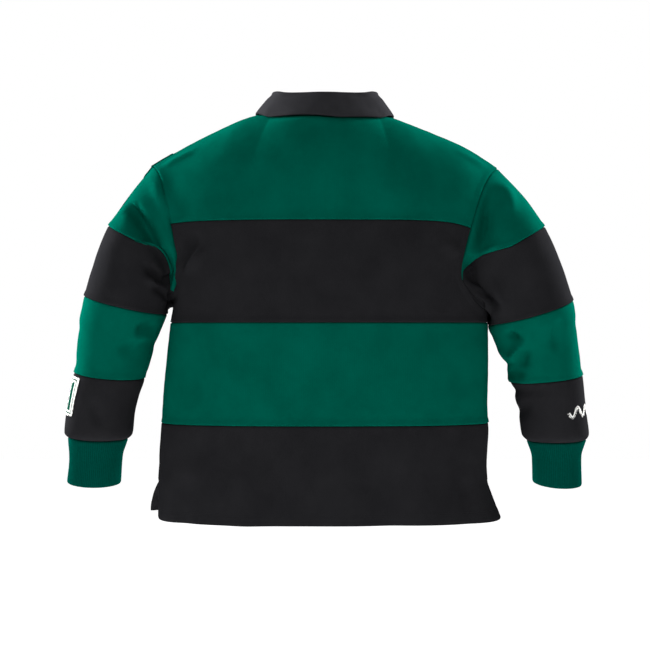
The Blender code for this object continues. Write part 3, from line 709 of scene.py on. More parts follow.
def cloth_mesh(name, points, loops, uvs):
    """A smooth mesh in metres from points in millimetres, with the cloth's own lengths as its map."""
    mesh = bpy.data.meshes.new(name)
    mesh.from_pydata((points * MM).tolist(), [], loops.tolist())
    layer = mesh.uv_layers.new(name="cloth")
    layer.data.foreach_set("uv", uvs.reshape(-1).astype(np.float32))
    mesh.shade_smooth()
    mesh.set_sharp_from_angle(angle=math.radians(SHARP_ANGLE))
    shape = bpy.data.objects.new(name, mesh)
    bpy.context.scene.collection.objects.link(shape)
    return shape


def rim_of(loops, uvs, count):
    """The edges that only one face has, and their ends on the map."""
    ends = np.stack([loops, np.roll(loops, -1, axis=1)], -1).reshape(-1, 2)
    key, back_key = ends[:, 0] * count + ends[:, 1], ends[:, 1] * count + ends[:, 0]
    at_rim = ~np.isin(key, back_key)
    return ends[at_rim], np.stack([uvs, np.roll(uvs, -1, axis=1)], 2).reshape(-1, 2, 2)[at_rim]


def way_in(points, normals, rim):
    """How a millimetre's inset moves each point: on the rim, in from both of the edges that meet there."""
    inward, count = np.zeros((len(points), 3)), np.zeros(len(points))
    for ends in rim.T:
        np.add.at(inward, ends, unit(np.cross(normals[ends], points[rim[:, 1]] - points[rim[:, 0]])))
        np.add.at(count, ends, 1)
    size = np.maximum((inward * inward).sum(1), 0.5)
    return inward * (count / size)[:, None]


def relief(points, raised, dips, to_seam, to_free, to_pressed, to_hem):
    """How far the outside of a block stands off its skin at each point, and how far the point is in a hem."""
    lift = raised - EDGE_DROP * np.exp(-((to_free / EDGE_REACH) ** 2))
    if dips:
        wobble = np.array([noise.noise(Vector(p / PUCKER_LENGTH)) for p in points])
        lift = lift - SEAM_DIP * np.exp(-((to_seam / SEAM_REACH) ** 2))
        lift += PUCKER_HEIGHT * wobble * np.exp(-to_seam / PUCKER_REACH) * ease(to_seam / PUCKER_STARTS)
        past_allowance = ease((to_pressed - ALLOWANCE_WIDTH) / ALLOWANCE_ENDS)
        lift += ALLOWANCE_RISE * ease(to_pressed / ALLOWANCE_STARTS) * (1 - past_allowance)
        lift += LIP_RISE * np.exp(-(((to_pressed - LIP_PLACE) / LIP_REACH) ** 2))
    in_hem = 1 - ease((to_hem - HEM_WIDTH) / HEM_END)
    lift = lift + HEM_RISE * in_hem - GROOVE * np.exp(-(((to_hem - HEM_WIDTH) / GROOVE_REACH) ** 2))
    return lift, in_hem


def cut_sizes(wanted, across, down, corners):
    """The size that a block was cut to, along its cloth: its area, its widest row and its longest column."""
    crossed = np.cross(corners[:, 2] - corners[:, 0], corners[:, 3] - corners[:, 1])
    sizes = {"cut_area": np.linalg.norm(crossed, axis=1).sum() / 2 * MM * MM}
    for label, run, part in (("cut_across", across, wanted), ("cut_down", down.T, wanted.T)):
        r, c = np.nonzero(part)
        sizes[label] = MM * max(float(np.ptp(run[k, np.append(c[r == k], c[r == k].max() + 1)])) for k in set(r))
    return sizes


def shell(
    name, cloth, wanted, thickness, pressed=(), free=(), hem=(), raised=0.0, inset=SEAM_GAP / 2, dips=True
):
    """A thin closed shell over the wanted faces of a cloth, or over all. pressed, free and hem say which of its
    grid's points lie on a seam whose allowance is under this block, on a free edge and on a turned-up hem."""
    loops, (rows, cols) = cloth.quads()
    wanted = np.ones(loops.shape[:2], bool) if wanted is None else wanted
    across, down = lengths(cloth)
    uvs = np.stack([across[rows, cols], down[rows, cols]], -1)[wanted]
    loops = loops[wanted]
    if cloth.way < 0:
        loops, uvs = loops[:, ::-1], uvs[:, ::-1]
    used, loops = np.unique(loops, return_inverse=True)
    n, loops = len(used), loops.reshape(-1, 4)
    points, normals = cloth.points.reshape(-1, 3)[used], cloth.normals.reshape(-1, 3)[used]
    rim, rim_uvs = rim_of(loops, uvs, n)
    drawn, on_rim = way_in(points, normals, rim), np.unique(rim)
    base = points + inset * drawn

    pressed, free, hem = (
        np.asarray(mask).reshape(-1)[used][on_rim] if len(mask) else np.zeros(len(on_rim), bool)
        for mask in (pressed, free, hem)
    )
    to_seam, *to_others = (distance_to(points[on_rim][mask], points) for mask in (~free, free, pressed, hem))
    lift, in_hem = relief(points, raised, dips, to_seam, *to_others)
    outer = base + normals * lift[:, None]
    # Inside, the blocks run on into each other by a hair, as their overlocked edges close the seam.
    seamed = (to_seam < 0.01) & dips
    inner = np.where(seamed[:, None], points - SEAM_OVERLAP * drawn, base)
    inner = inner + normals * np.minimum(lift - thickness, raised - thickness + INSIDE_RISE)[:, None]
    inner -= normals * (HEM_THICKER * in_hem)[:, None]
    faces = np.concatenate(
        [
            loops + n,
            np.stack([loops[:, 0], loops[:, 3], loops[:, 2], loops[:, 1]], 1),
            np.stack([rim[:, 1] + n, rim[:, 0] + n, rim[:, 0], rim[:, 1]], 1),
        ]
    )
    all_uvs = np.concatenate([uvs, uvs[:, [0, 3, 2, 1]], rim_uvs[:, [1, 0, 0, 1]]])
    made = cloth_mesh(name, np.concatenate([inner, outer]), faces, all_uvs)
    if not hasattr(cloth, "top"):
        cloth.top = cloth.points.copy()
    cloth.top.reshape(-1, 3)[used] = outer
    for label, size in cut_sizes(wanted, across, down, points[loops]).items():
        made[label] = size
    return made


def declare(piece, node_name):
    """Hangs a cloth piece from the root, hides the part that it stands for, and clears the sizes that it was cut
    to.
    """
    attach(piece, "root")
    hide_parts(node_name)
    for key in ("cut_area", "cut_down", "cut_across"):
        del piece[key]


def make_piece(node_name, cloth, wanted, thickness, material, slot, held="hung", **form):
    """A shell over part of a cloth, or over all of it, that stands for a node."""
    piece = shell(f"{node_name}_cloth", cloth, wanted, thickness, **form)
    piece.data.materials.append(material)
    declare(piece, node_name)


def begin_material(name, colour, roughness, specular):
    """A plain material of one sRGB colour, with its tree and shader for what is added to it."""
    material = bpy.data.materials.new(name)
    material.use_nodes = True
    shader = material.node_tree.nodes["Principled BSDF"]
    feed(shader, {"Base Color": linear(colour), "Roughness": roughness, "Specular IOR Level": specular})
    return material, material.node_tree, shader


KNIT_SHEEN = {"Sheen Weight": 0.06, "Sheen Roughness": 0.35}


def cloth_ways(tree):
    """The millimetres across and down a cloth, from its own map."""
    return node(tree, "ShaderNodeSeparateXYZ", {0: node(tree, "ShaderNodeUVMap", uv_map="cloth")}).outputs[:2]


def jersey(name, colour, lit, sheen):
    """Heavy combed-cotton jersey, piece-dyed and a little brushed: matt and deep in colour, with fine wales
    and a soft sheen of its own dye at grazing angles. lit is the tone of the rubbed patches."""
    material, tree, shader = begin_material(name, colour, 0.9, 0.0)
    # Slow patches of rubbed dye about 60 mm across, and fuzz of 2 to 3 mm.
    place = node(tree, "ShaderNodeTexCoord").outputs["Object"]
    patches = node(tree, "ShaderNodeTexNoise", {"Vector": place, "Scale": 17, "Detail": 3.0, "Roughness": 0.55})
    fuzz = node(tree, "ShaderNodeTexNoise", {"Vector": place, "Scale": 420, "Detail": 2.0, "Roughness": 0.6})
    mixed = node(tree, "ShaderNodeMath", {0: fuzz, 1: 0.35, 2: patches}, operation="MULTIPLY_ADD")
    tone = node(tree, "ShaderNodeMapRange", {0: mixed, 1: 0.45, 2: 0.9})
    base = node(tree, "ShaderNodeMix", {0: tone, 6: linear(colour), 7: linear(lit)}, data_type="RGBA")
    # The wales, really 1.5 mm apart, are drawn at 3 mm so that they read, with a stitch every 1.2 mm, each
    # a small V.
    across, down = cloth_ways(tree)
    wale = node(tree, "ShaderNodeMath", {0: across, 1: 1.5}, operation="PINGPONG")
    leaning = node(tree, "ShaderNodeMath", {0: wale, 1: 0.6, 2: down}, operation="MULTIPLY_ADD")
    stitch = node(tree, "ShaderNodeMath", {0: leaning, 1: 0.6}, operation="PINGPONG")
    height = node(tree, "ShaderNodeMath", {0: wale, 1: stitch}, operation="MULTIPLY")
    bump = node(tree, "ShaderNodeBump", {"Height": height, "Strength": 0.35, "Distance": 0.0004})
    feed(shader, {"Base Color": base.outputs[2], "Normal": bump, **KNIT_SHEEN, "Sheen Tint": linear(sheen)})
    return material


GREEN_JERSEY = jersey("green_cotton_jersey", "#00473A", "#005042", "#00604F")
BLACK_JERSEY = jersey("black_cotton_jersey", "#1B1B1D", "#202022", "#303034")
JERSEYS = {True: (BLACK_JERSEY, "black_jersey"), False: (GREEN_JERSEY, "green_jersey")}


def middles(values, closed=False):
    """Half way between neighbours, and back to the first where the values go all the way round."""
    values = np.append(values, values[0]) if closed else values
    return (values[1:] + values[:-1]) / 2


row_middle, column_middle = np.meshgrid(middles(body_rows), middles(body_columns), indexing="ij")
row_at, column_at = np.meshgrid(body_rows, body_columns, indexing="ij")
at_edge = np.abs(column_at) == 1
at_neck = (row_at == TOP) & (np.abs(column_at) <= NECK_COLUMN)
free_edges = (row_at == HEM) | (at_edge & (row_at <= VENT)) | at_neck
BLOCK_SEAMS = {
    "hem": (HEM, LOW_SEAM),
    "waist": (LOW_SEAM, MID_SEAM),
    "chest": (MID_SEAM, HIGH_SEAM),
    "shoulder": (HIGH_SEAM, TOP),
}
in_slot = (np.abs(column_middle) < SLOT_COLUMN) & (row_middle > PLACKET_FOOT)
for side in ("back", "front"):
    if side == "back":
        over = (at_edge & (row_at > VENT)) | ((row_at == TOP) & (np.abs(column_at) >= NECK_COLUMN))
    else:
        over = at_edge & (row_at > UNDERARM)
    for block, (low, high) in BLOCK_SEAMS.items():
        wanted = (row_middle > low) & (row_middle < high) & ((side == "back") | ~in_slot)
        halves = {"": wanted}
        if side == "front" and block == "shoulder":
            halves = {"_left": wanted & (column_middle > 0), "_right": wanted & (column_middle < 0)}
        seams = over | ((row_at == low) & (low > HEM))
        for half, mask in halves.items():
            make_piece(
                f"{side}_{block}{half}", body[side], mask, JERSEY, *JERSEYS[block in ("hem", "chest")],
                pressed=seams, free=free_edges, hem=row_at == HEM,
            )

for hand, sleeve in sleeves.items():
    edges = middles(sleeve.rows), middles(np.abs(sleeve.columns), closed=True)
    station, turn = np.meshgrid(*edges, indexing="ij")
    under = (station < SLEEVE_SEAMS[0]) & (turn > CURL[hand].ends)
    masks = [(station > low) & (station < high) for low, high in zip((0, *SLEEVE_SEAMS), SLEEVE_SEAMS)]
    masks[0], masks[1] = masks[0] & ~under, masks[1] | under
    for block, mask, seam in zip(("cap", "upper", "lower", "wrist"), masks, SLEEVE_SEAMS):
        seams = np.tile((sleeve.rows == seam)[:, None] & (block != "wrist"), len(sleeve.columns))
        colours = JERSEYS[block in ("upper", "wrist")]
        make_piece(f"sleeve_{HAND_NAME[hand]}_{block}", sleeve, mask, JERSEY, *colours, pressed=seams)


def on_cloth(cloth, rows, columns, layer="top"):
    """Places on the outside of a finished cloth, and the ways out of it, at rows and columns of its grid."""
    known, grid = cloth.columns, np.concatenate([getattr(cloth, layer), cloth.normals], axis=2)
    if cloth.closed:
        known, columns = np.append(known % 360, 360), np.asarray(columns) % 360
        grid = np.concatenate([grid, grid[:, :1]], axis=1)
    rows, columns = np.broadcast_arrays(np.asarray(rows, float), np.asarray(columns, float))
    i = np.clip(np.searchsorted(cloth.rows, rows, side="right") - 1, 0, len(cloth.rows) - 2)
    j = np.clip(np.searchsorted(known, columns, side="right") - 1, 0, len(known) - 2)
    s = ((rows - cloth.rows[i]) / (cloth.rows[i + 1] - cloth.rows[i]))[..., None]
    t = ((columns - known[j]) / (known[j + 1] - known[j]))[..., None]
    found = (1 - s) * ((1 - t) * grid[i, j] + t * grid[i, j + 1])
    found = found + s * ((1 - t) * grid[i + 1, j] + t * grid[i + 1, j + 1])
    return found[..., :3], unit(found[..., 3:])


def patch_of(cloth, rows, columns, name):
    """A smaller cloth with lines of its own, lying on a part of another."""
    rows, columns = np.asarray(rows), np.asarray(columns)
    points, normals = on_cloth(cloth, rows[:, None], columns[None, :])
    patch = Cloth(name, rows, columns, points, cloth.way)
    patch.normals = normals
    return patch


# Sewing thread, a little thicker than real so that the stitches read: each stitch is a small grain of thread
# laid along its row. The rows are lines that carry the way out of the cloth as "out".
THREAD = 0.42


def geometry_tree(name, **given):
    """A tree of geometry nodes that takes a mesh and what else is named, each with its kind."""
    tree = bpy.data.node_groups.new(name, "GeometryNodeTree")
    for label, kind in {"Geometry": "Geometry", **given}.items():
        tree.interface.new_socket(label, in_out="INPUT", socket_type=f"NodeSocket{kind}")
    tree.interface.new_socket("Geometry", in_out="OUTPUT", socket_type="NodeSocketGeometry")
    return tree, node(tree, "NodeGroupInput").outputs


def stitch_tree():
    """Lays a grain of thread at every pitch of each row."""
    tree, given = geometry_tree(
        "stitch_rows", Pitch="Float", Length="Float", Width="Float", Height="Float", Thread="Material"
    )
    line = node(tree, "GeometryNodeMeshToCurve", {0: given["Geometry"]})
    at = node(tree, "GeometryNodeCurveToPoints", {0: line, "Length": given["Pitch"]}, mode="LENGTH").outputs
    out = node(tree, "GeometryNodeInputNamedAttribute", {0: "out"}, data_type="FLOAT_VECTOR")
    along = node(tree, "FunctionNodeAlignRotationToVector", {"Vector": at["Tangent"]}, axis="X")
    turn = {"Rotation": along, "Vector": out}
    upright = node(tree, "FunctionNodeAlignRotationToVector", turn, axis="Z", pivot_axis="X")
    grain = node(tree, "GeometryNodeMeshUVSphere", {"Segments": 6, "Rings": 5, "Radius": 0.5})
    size = node(tree, "ShaderNodeCombineXYZ", {0: given["Length"], 1: given["Width"], 2: given["Height"]})
    laid = {"Points": at["Points"], "Instance": grain, "Rotation": upright, "Scale": size}
    whole = node(tree, "GeometryNodeRealizeInstances", {0: node(tree, "GeometryNodeInstanceOnPoints", laid)})
    smooth = node(tree, "GeometryNodeSetShadeSmooth", {0: whole})
    sewn = node(tree, "GeometryNodeSetMaterial", {"Geometry": smooth, "Material": given["Thread"]})
    node(tree, "NodeGroupOutput", {0: sewn})
    return tree


STITCHES = stitch_tree()


def through_tree(shape, tree, **inputs):
    """Runs a mesh through a tree of geometry nodes, and puts the plain mesh that comes out in its place."""
    modifier = shape.modifiers.new(tree.name, "NODES")
    modifier.node_group = tree
    for item in tree.interface.items_tree:
        if item.in_out == "INPUT" and item.name in inputs:
            modifier[item.identifier] = inputs[item.name]
    evaluated = shape.evaluated_get(bpy.context.evaluated_depsgraph_get())
    made = bpy.data.meshes.new_from_object(evaluated)
    shape.modifiers.clear()
    shape.data = made


def sew(name, rows, slot, thread, pitch=3.2, length=2.5, width=THREAD, height=THREAD):
    """Sews rows of stitches, each given as its points and the ways out. Stitches across their row, as of a
    buttonhole or a satin edge, come from rows that are given as many short lines."""
    points, ends, outs = [], [], []
    for places, ways in rows:
        start = len(points)
        points += (places * MM).tolist()
        outs += ways.tolist()
        ends += [(k, k + 1) for k in range(start, start + len(places) - 1)]
    mesh = bpy.data.meshes.new(name)
    mesh.from_pydata(points, ends, [])
    layer = mesh.attributes.new("out", "FLOAT_VECTOR", "POINT")
    layer.data.foreach_set("vector", np.ravel(outs).astype(np.float32))
    shape = bpy.data.objects.new(name, mesh)
    bpy.context.scene.collection.objects.link(shape)
    sizes = {"Pitch": pitch * MM, "Length": length * MM, "Width": width * MM, "Height": height * MM}
    through_tree(shape, STITCHES, Thread=thread, **sizes)
    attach(shape, "root")
    return shape


def spread(places, ways, gap):
    """A row given again with points the same gap apart."""
    run = run_along(places)
    at = np.linspace(0, run[-1], max(2, round(run[-1] / gap) + 1))
    return (np.stack([np.interp(at, run, given[:, k]) for k in range(3)], 1) for given in (places, ways))


def thread_material(name, colour):
    """Spun thread, polyester for sewing or rayon for satin stitch: its twist shows as a soft grain of 1 mm."""
    material, tree, shader = begin_material(name, colour, 0.75, 0.12)
    place = node(tree, "ShaderNodeTexCoord").outputs["Object"]
    twist = node(tree, "ShaderNodeTexNoise", {"Vector": place, "Scale": 900, "Detail": 1.0})
    bump = node(tree, "ShaderNodeBump", {"Height": twist, "Strength": 0.4, "Distance": 0.0002})
    feed(shader, {"Normal": bump})
    return material


BLACK_THREAD = thread_material("black_polyester_thread", "#1D1D20")

# The hems are turned up and held by two rows, and the vents' edges by one.
HEM_ROWS, HEM_REACH, VENT_ROW = (16.5, 19.5), 0.985, 9 / 285
rows = []
for cloth in body.values():
    columns = np.linspace(-HEM_REACH, HEM_REACH, 260)
    for height in HEM_ROWS:
        at = [np.interp(height, down, cloth.rows) for down in lengths(cloth)[1].T]
        rows.append(on_cloth(cloth, np.interp(columns, cloth.columns, at), columns))
    rows += [on_cloth(cloth, np.linspace(0.05, VENT, 30), hand * (1 - VENT_ROW)) for hand in (1, -1)]
sew("hem_stitches", rows, "black_jersey", BLACK_THREAD)

# ----------------------------------------------------------
# The cuffs: a doubled tube of green 1x1 rib on each wrist, seamed to the wrist block and drawn in by its own
# stretch, with its fold at the open end.
RIB = 2.0
RIB_PITCH, RIB_DEPTH, RIB_DRAWN, LINES_A_RIB = 2.7, 0.4, 0.8, 6
CUFF_LENGTH, CUFF_STEP, CUFF_SEAM, CUFF_FOLD = 69, 2.8, 9, 4
CUFF = {
    1: (Ring(530, 446, -580, 353, -582, -36, 32, 7), Ring(577, 451, -627, 357, -629, -42, 29, 8)),
    -1: (Ring(530, 447, -582, 361, -584, -36, 32, 7), Ring(577, 449, -632, 363, -627, -42, 29, 8)),
}


def rib_tree():
    """Raises the wales of a rib: "rib" counts them round the cuff, and "freed" is 0 where they lie flat."""
    tree, given = geometry_tree("knit_ribs", Depth="Float", Knit="Material")
    rib = node(tree, "GeometryNodeInputNamedAttribute", {0: "rib"}, data_type="FLOAT")
    freed = node(tree, "GeometryNodeInputNamedAttribute", {0: "freed"}, data_type="FLOAT")
    turn = node(tree, "ShaderNodeMath", {0: rib, 1: 2 * math.pi}, operation="MULTIPLY")
    wave = node(tree, "ShaderNodeMath", {0: turn}, operation="SINE")
    height = node(tree, "ShaderNodeMath", {0: wave, 1: freed}, operation="MULTIPLY")
    scaled = node(tree, "ShaderNodeMath", {0: height, 1: given["Depth"]}, operation="MULTIPLY")
    normal = node(tree, "GeometryNodeInputNormal")
    moved = node(tree, "ShaderNodeVectorMath", {0: normal, "Scale": scaled}, operation="SCALE")
    knit = node(tree, "GeometryNodeSetPosition", {"Geometry": given["Geometry"], "Offset": moved})
    whole = node(tree, "GeometryNodeRealizeInstances", {0: knit})
    made = node(tree, "GeometryNodeSetMaterial", {"Geometry": whole, "Material": given["Knit"]})
    node(tree, "NodeGroupOutput", {0: made})
    return tree


RIBS = rib_tree()
# Cotton rib with elastane: matt and darker than the jersey, with a course every 1.4 mm and fuzz of 2 to 3 mm.
# Its colour also carries painted shade: darker in the grooves between its wales and lighter on their crests.
GREEN_RIB, tree, shader = begin_material("green_cotton_rib", "#00463B", 0.9, 0.0)
place = node(tree, "ShaderNodeTexCoord").outputs["Object"]
fuzz = node(tree, "ShaderNodeTexNoise", {"Vector": place, "Scale": 380, "Detail": 2.0})
rib = node(tree, "ShaderNodeAttribute", attribute_name="rib").outputs["Fac"]
turn = node(tree, "ShaderNodeMath", {0: rib, 1: 2 * math.pi}, operation="MULTIPLY")
wave = node(tree, "ShaderNodeMath", {0: turn}, operation="SINE")
# Painted shade: the same wave as the wales' height darkens the colour where they sink.
painted_wale_shade = node(tree, "ShaderNodeMath", {0: wave, 1: 0.25, 2: fuzz}, operation="MULTIPLY_ADD")
tone = node(tree, "ShaderNodeMapRange", {0: painted_wale_shade, 1: 0.0, 2: 1.0})
base = node(tree, "ShaderNodeMix", {0: tone, 6: linear("#003028"), 7: linear("#003F36")}, data_type="RGBA")
course = node(tree, "ShaderNodeMath", {0: cloth_ways(tree)[1], 1: 0.7}, operation="PINGPONG")
bump = node(tree, "ShaderNodeBump", {"Height": course, "Strength": 0.25, "Distance": 0.0004})
feed(shader, {"Base Color": base.outputs[2], "Normal": bump, **KNIT_SHEEN, "Sheen Tint": linear("#00604F")})

for hand, sleeve in sleeves.items():
    name = f"cuff_{HAND_NAME[hand]}"
    known = np.append(sleeve.columns % 360, 360)
    start = np.concatenate([sleeve.points[-1], sleeve.points[-1, :1]])
    ribs = round(RIB_DRAWN * run_along(start)[-1] / RIB_PITCH)
    turns = np.linspace(0, 360, ribs * LINES_A_RIB + 1)[:-1]
    first = np.stack([np.interp(turns, known, start[:, k]) for k in range(3)], 1)
    angles = np.radians(np.where(turns > 180, turns - 360, turns))
    rings = [first, *(ring_points(ring, hand, angles) for ring in CUFF[hand])]
    top = SLEEVE_SEAMS[-1]
    stations = top + CUFF_LENGTH * lines(CUFF_LENGTH, CUFF_STEP)
    grid = curve([top, *(ring.station for ring in CUFF[hand])], rings, stations)
    cuff = Cloth(name, stations, turns, grid, sleeve.way, True)
    piece = shell(f"{name}_cloth", cuff, None, RIB, free=np.tile((stations != top)[:, None], len(turns)))
    outer, grid = len(piece.data.vertices) // 2, np.ones(cuff.points.shape[:2])
    wales = np.tile((grid * (turns / 360 * ribs)).ravel(), 2)
    seam_away = ease((stations - top) / CUFF_SEAM) * ease((stations[-1] - stations) / CUFF_FOLD)
    freed = np.tile((grid * seam_away[:, None]).ravel(), 2)
    freed[:outer] *= -1
    for label, values in (("rib", wales), ("freed", freed)):
        layer = piece.data.attributes.new(label, "FLOAT", "POINT")
        layer.data.foreach_set("value", values.astype(np.float32))
    through_tree(piece, RIBS, Depth=RIB_DEPTH / 2 * MM, Knit=GREEN_RIB)
    declare(piece, name)

# ----------------------------------------------------------
# The collar: two plies of black twill turned right side out, topstitched near the edge, sewn to the neckline
# and folded over its own stand. It meets at the top of the placket.
TWILL = 1.8
Collar = namedtuple("Collar", "turn fold_x fold_y fold_z edge_x edge_y edge_z")
COLLAR = (
    Collar(0.00, 8, -95, -60, 60, -120, -130),
    Collar(0.18, 42, -82, -33, 96, -104, -84),
    Collar(0.38, 74, -43, 14, 115, -62, -26),
    Collar(0.47, 85, -20, 33, 118, -28, -7),
    Collar(0.56, 86, 3, 42.5, 118, -2, 4),
    Collar(0.66, 79, 24, 41, 110, 26, 3),
    Collar(0.78, 63, 43, 36.5, 92, 54, -1),
    Collar(1.00, 0, 62, 32.5, 0, 84, -12),
)
COLLAR_TURNS, COLLAR_ROLL, COLLAR_REST, COLLAR_NEAR, COLLAR_SEAM = 161, 2.6, 4.4, 9, -0.8
COLLAR_BELLY = (0.5, 1.2, 0.4)
COLLAR_TOPSTITCH, COLLAR_ROW, TOPSTITCH_STARTS = 6, 3, 4
# Lines across the collar: up its stand, round its roll and down its fall.
STAND_LINES, ROLL_LINES, FALL_LINES = lines(30, 3, high=False), 9, lines(42, 1.8, low=False)
# The fall isn't quite flat: a few lines below the roll it lifts and dips by this much, in waves this long.
FALL_LIFT, FALL_WAVE, FALL_SETTLES = 0.9, 34, 6


def mirrored(table):
    """The collar's table carried on past the middle of the back, so that it runs level there."""
    beyond = []
    for row in table[-2::-1]:
        beyond.append(row._replace(turn=2 - row.turn, fold_x=-row.fold_x, edge_x=-row.edge_x))
    return (*table, *beyond)


def above(skin_tree, point, resting=False):
    """The point lifted clear of the shirt, or, if it rests there, set down at that height."""
    foot, normal, _, distance = skin_tree.find_nearest(Vector(point))
    height = (Vector(point) - foot) @ normal
    if resting:
        return np.array(foot + normal * COLLAR_REST)
    if distance >= COLLAR_NEAR:
        return point
    return np.array(Vector(point) + normal * max(0, COLLAR_REST - height))


def collar_section(turn, hand, neckline, skin_tree):
    """The collar across its width at one place round the neck: stand, roll and fall, from seam to edge."""
    seam = np.array([np.interp(turn, neckline[:, 3], neckline[:, axis]) for axis in range(3)])
    fold, edge = (
        np.array([read(mirrored(COLLAR), "turn", f"{line}_{axis}", turn) for axis in "xyz"]) * (hand, 1, 1)
        for line in ("fold", "edge")
    )
    seam += unit(fold - seam) * COLLAR_SEAM
    edge = above(skin_tree, edge, resting=True)
    up = unit(fold - seam)
    out = edge - fold
    out = unit(out - (out @ up) * up)
    round_fold = np.linspace(0, math.pi, ROLL_LINES)
    arc = [fold + COLLAR_ROLL * (out * (1 - math.cos(a)) + up * math.sin(a)) for a in round_fold]
    upper, middle, lower = COLLAR_BELLY
    belly = (arc[-1] + edge) / 2 + out * middle
    fall = [(arc[-1] + belly) / 2 + out * upper, belly, (belly + edge) / 2 + out * lower]
    stand = [seam + (fold - seam) * t for t in (0, 0.25, 0.5, 0.75)]
    knots = np.array([*stand, *arc, *fall, edge])
    run = run_along(knots)
    stand_end, roll_end = run[len(stand)], run[len(stand) + len(arc) - 1]
    at = [
        stand_end * STAND_LINES[:-1],
        np.linspace(stand_end, roll_end, ROLL_LINES)[:-1],
        roll_end + (run[-1] - roll_end) * FALL_LINES,
    ]
    return curve(run, knots, np.concatenate(at))


vertices, faces = [], []
for cloth in body.values():
    faces += (cloth.quads()[0].reshape(-1, 4)[:, :: cloth.way] + len(vertices)).tolist()
    vertices += cloth.points.reshape(-1, 3).tolist()
skin_tree = BVHTree.FromPolygons(vertices, faces)
halves = []
for hand in (1, -1):
    neckline = []
    for side in ("back", "front"):
        for point in body[side].points[-1, (hand * body_columns >= 0) & (hand * body_columns <= NECK_COLUMN)]:
            turn = math.atan2(hand * point[0] / NECK_HALF, -point[1] / NECK_DEPTH[side]) / math.pi
            neckline.append([*point, turn])
    neckline = np.array(sorted(neckline, key=lambda place: place[3]))
    turns = np.linspace(0, 1, COLLAR_TURNS // 2 + 1)
    halves.append([collar_section(turn, hand, neckline, skin_tree) for turn in turns])
falls_from = len(STAND_LINES) + ROLL_LINES - 2
grid = np.array([*halves[0], *halves[1][-2::-1]])
for section in grid:
    for k in range(falls_from, grid.shape[1] - 1):
        section[k] = above(skin_tree, section[k])
collar = Cloth("collar", np.arange(COLLAR_TURNS), np.arange(grid.shape[1]), grid)
heights = np.array([FALL_LIFT * noise.noise(Vector(p) / FALL_WAVE) for p in grid.reshape(-1, 3)])
heights = heights.reshape(grid.shape[:2])
fall_share = np.clip((np.arange(grid.shape[1]) - falls_from) / FALL_SETTLES, 0, 1)
collar.points = grid + collar.normals * (heights * fall_share)[..., None]
collar.settle()

# Cotton twill: matt black with fine slanting ribs 0.9 mm apart, drawn at 1.1 mm so that they read, over a
# warp of 0.9 mm, and worn a little paler in patches of about 17 mm.
BLACK_TWILL, tree, shader = begin_material("black_cotton_twill", "#2A2A2C", 0.9, 0.0)
across, down = cloth_ways(tree)
slant = node(tree, "ShaderNodeMath", {0: across, 1: 0.6, 2: down}, operation="MULTIPLY_ADD")
ribs = node(tree, "ShaderNodeMath", {0: slant, 1: 0.65}, operation="PINGPONG")
yarn = node(tree, "ShaderNodeMath", {0: across, 1: 0.45}, operation="PINGPONG")
height = node(tree, "ShaderNodeMath", {0: yarn, 1: 0.4, 2: ribs}, operation="MULTIPLY_ADD")
bump = node(tree, "ShaderNodeBump", {"Height": height, "Strength": 0.5, "Distance": 0.0004})
place = node(tree, "ShaderNodeTexCoord").outputs["Object"]
patches = node(tree, "ShaderNodeTexNoise", {"Vector": place, "Scale": 60, "Detail": 3.0})
base = node(tree, "ShaderNodeMix", {0: patches, 6: linear("#262628"), 7: linear("#2F2F32")}, data_type="RGBA")
feed(shader, {"Base Color": base.outputs[2], "Normal": bump})

turned = np.tile(np.arange(grid.shape[1]) > 0, (COLLAR_TURNS, 1))
make_piece(
    "collar", collar, None, TWILL, BLACK_TWILL, "black_twill", "folded",
    free=turned, raised=TWILL / 2, inset=0, dips=False,
)
# The topstitching runs at one distance from the edge all round, down one end and up the other.
across = lengths(collar)[0]
across = across - across[:, [0]]
edge_at = [np.interp(row[-1] - COLLAR_TOPSTITCH, row, collar.columns) for row in across]
end_row = COLLAR_TOPSTITCH / COLLAR_ROW
start_at = np.linspace(falls_from + TOPSTITCH_STARTS, edge_at[0], 24)
rows = [on_cloth(collar, np.clip(np.arange(COLLAR_TURNS), end_row, COLLAR_TURNS - 1 - end_row), edge_at)]
rows += [on_cloth(collar, row, start_at) for row in (end_row, COLLAR_TURNS - 1 - end_row)]
sew("collar_stitches", rows, "black_twill", BLACK_THREAD)

# ----------------------------------------------------------
# The placket: a folded strip of the collar's twill over the slit in the front, stitched down both edges and
# boxed at its foot, and the under side that it closes on. Its buttonholes are sewn upright.
PLACKET = 2.0
SEWN_INSET, UNDER_INSET = 0.2, 0.15
PLACKET_LENGTH, PLACKET_BELOW_SEAM, PLACKET_STEP, STRIP_STEP = 200, 0.225, 2.2, 1.6
BRIDGE_PASSES, BRIDGE = 6, (0.25, 0.5, 0.25)
front = body["front"]
make_piece("placket_under", front, in_slot, JERSEY, BLACK_TWILL, "black_twill", free=at_neck, inset=UNDER_INSET)
strip_shares = lines(PLACKET_LENGTH, PLACKET_STEP)
strip_rows = np.interp(strip_shares, [0, PLACKET_BELOW_SEAM, 1], [PLACKET_FOOT, HIGH_SEAM, TOP])
strip_columns = STRIP_COLUMN * (-1 + 2 * lines(2 * STRIP_HALF, STRIP_STEP))
strip = patch_of(front, strip_rows, strip_columns, "placket_top")
# It bridges the dips of the seams beneath it.
skin = on_cloth(front, strip_rows[:, None], strip_columns[None, :], "points")[0]
heights = ((strip.points - skin) * strip.normals).sum(axis=2).max(axis=1)
for _ in range(BRIDGE_PASSES):
    heights = np.convolve(np.pad(heights, 1, mode="edge"), BRIDGE, mode="valid")
strip.points = skin + strip.normals * heights[:, None, None]
make_piece(
    "placket_top", strip, None, PLACKET, BLACK_TWILL, "black_twill",
    free=np.ones(strip.points.shape[:2], bool), raised=SEAM_GAP + PLACKET, inset=SEWN_INSET,
)

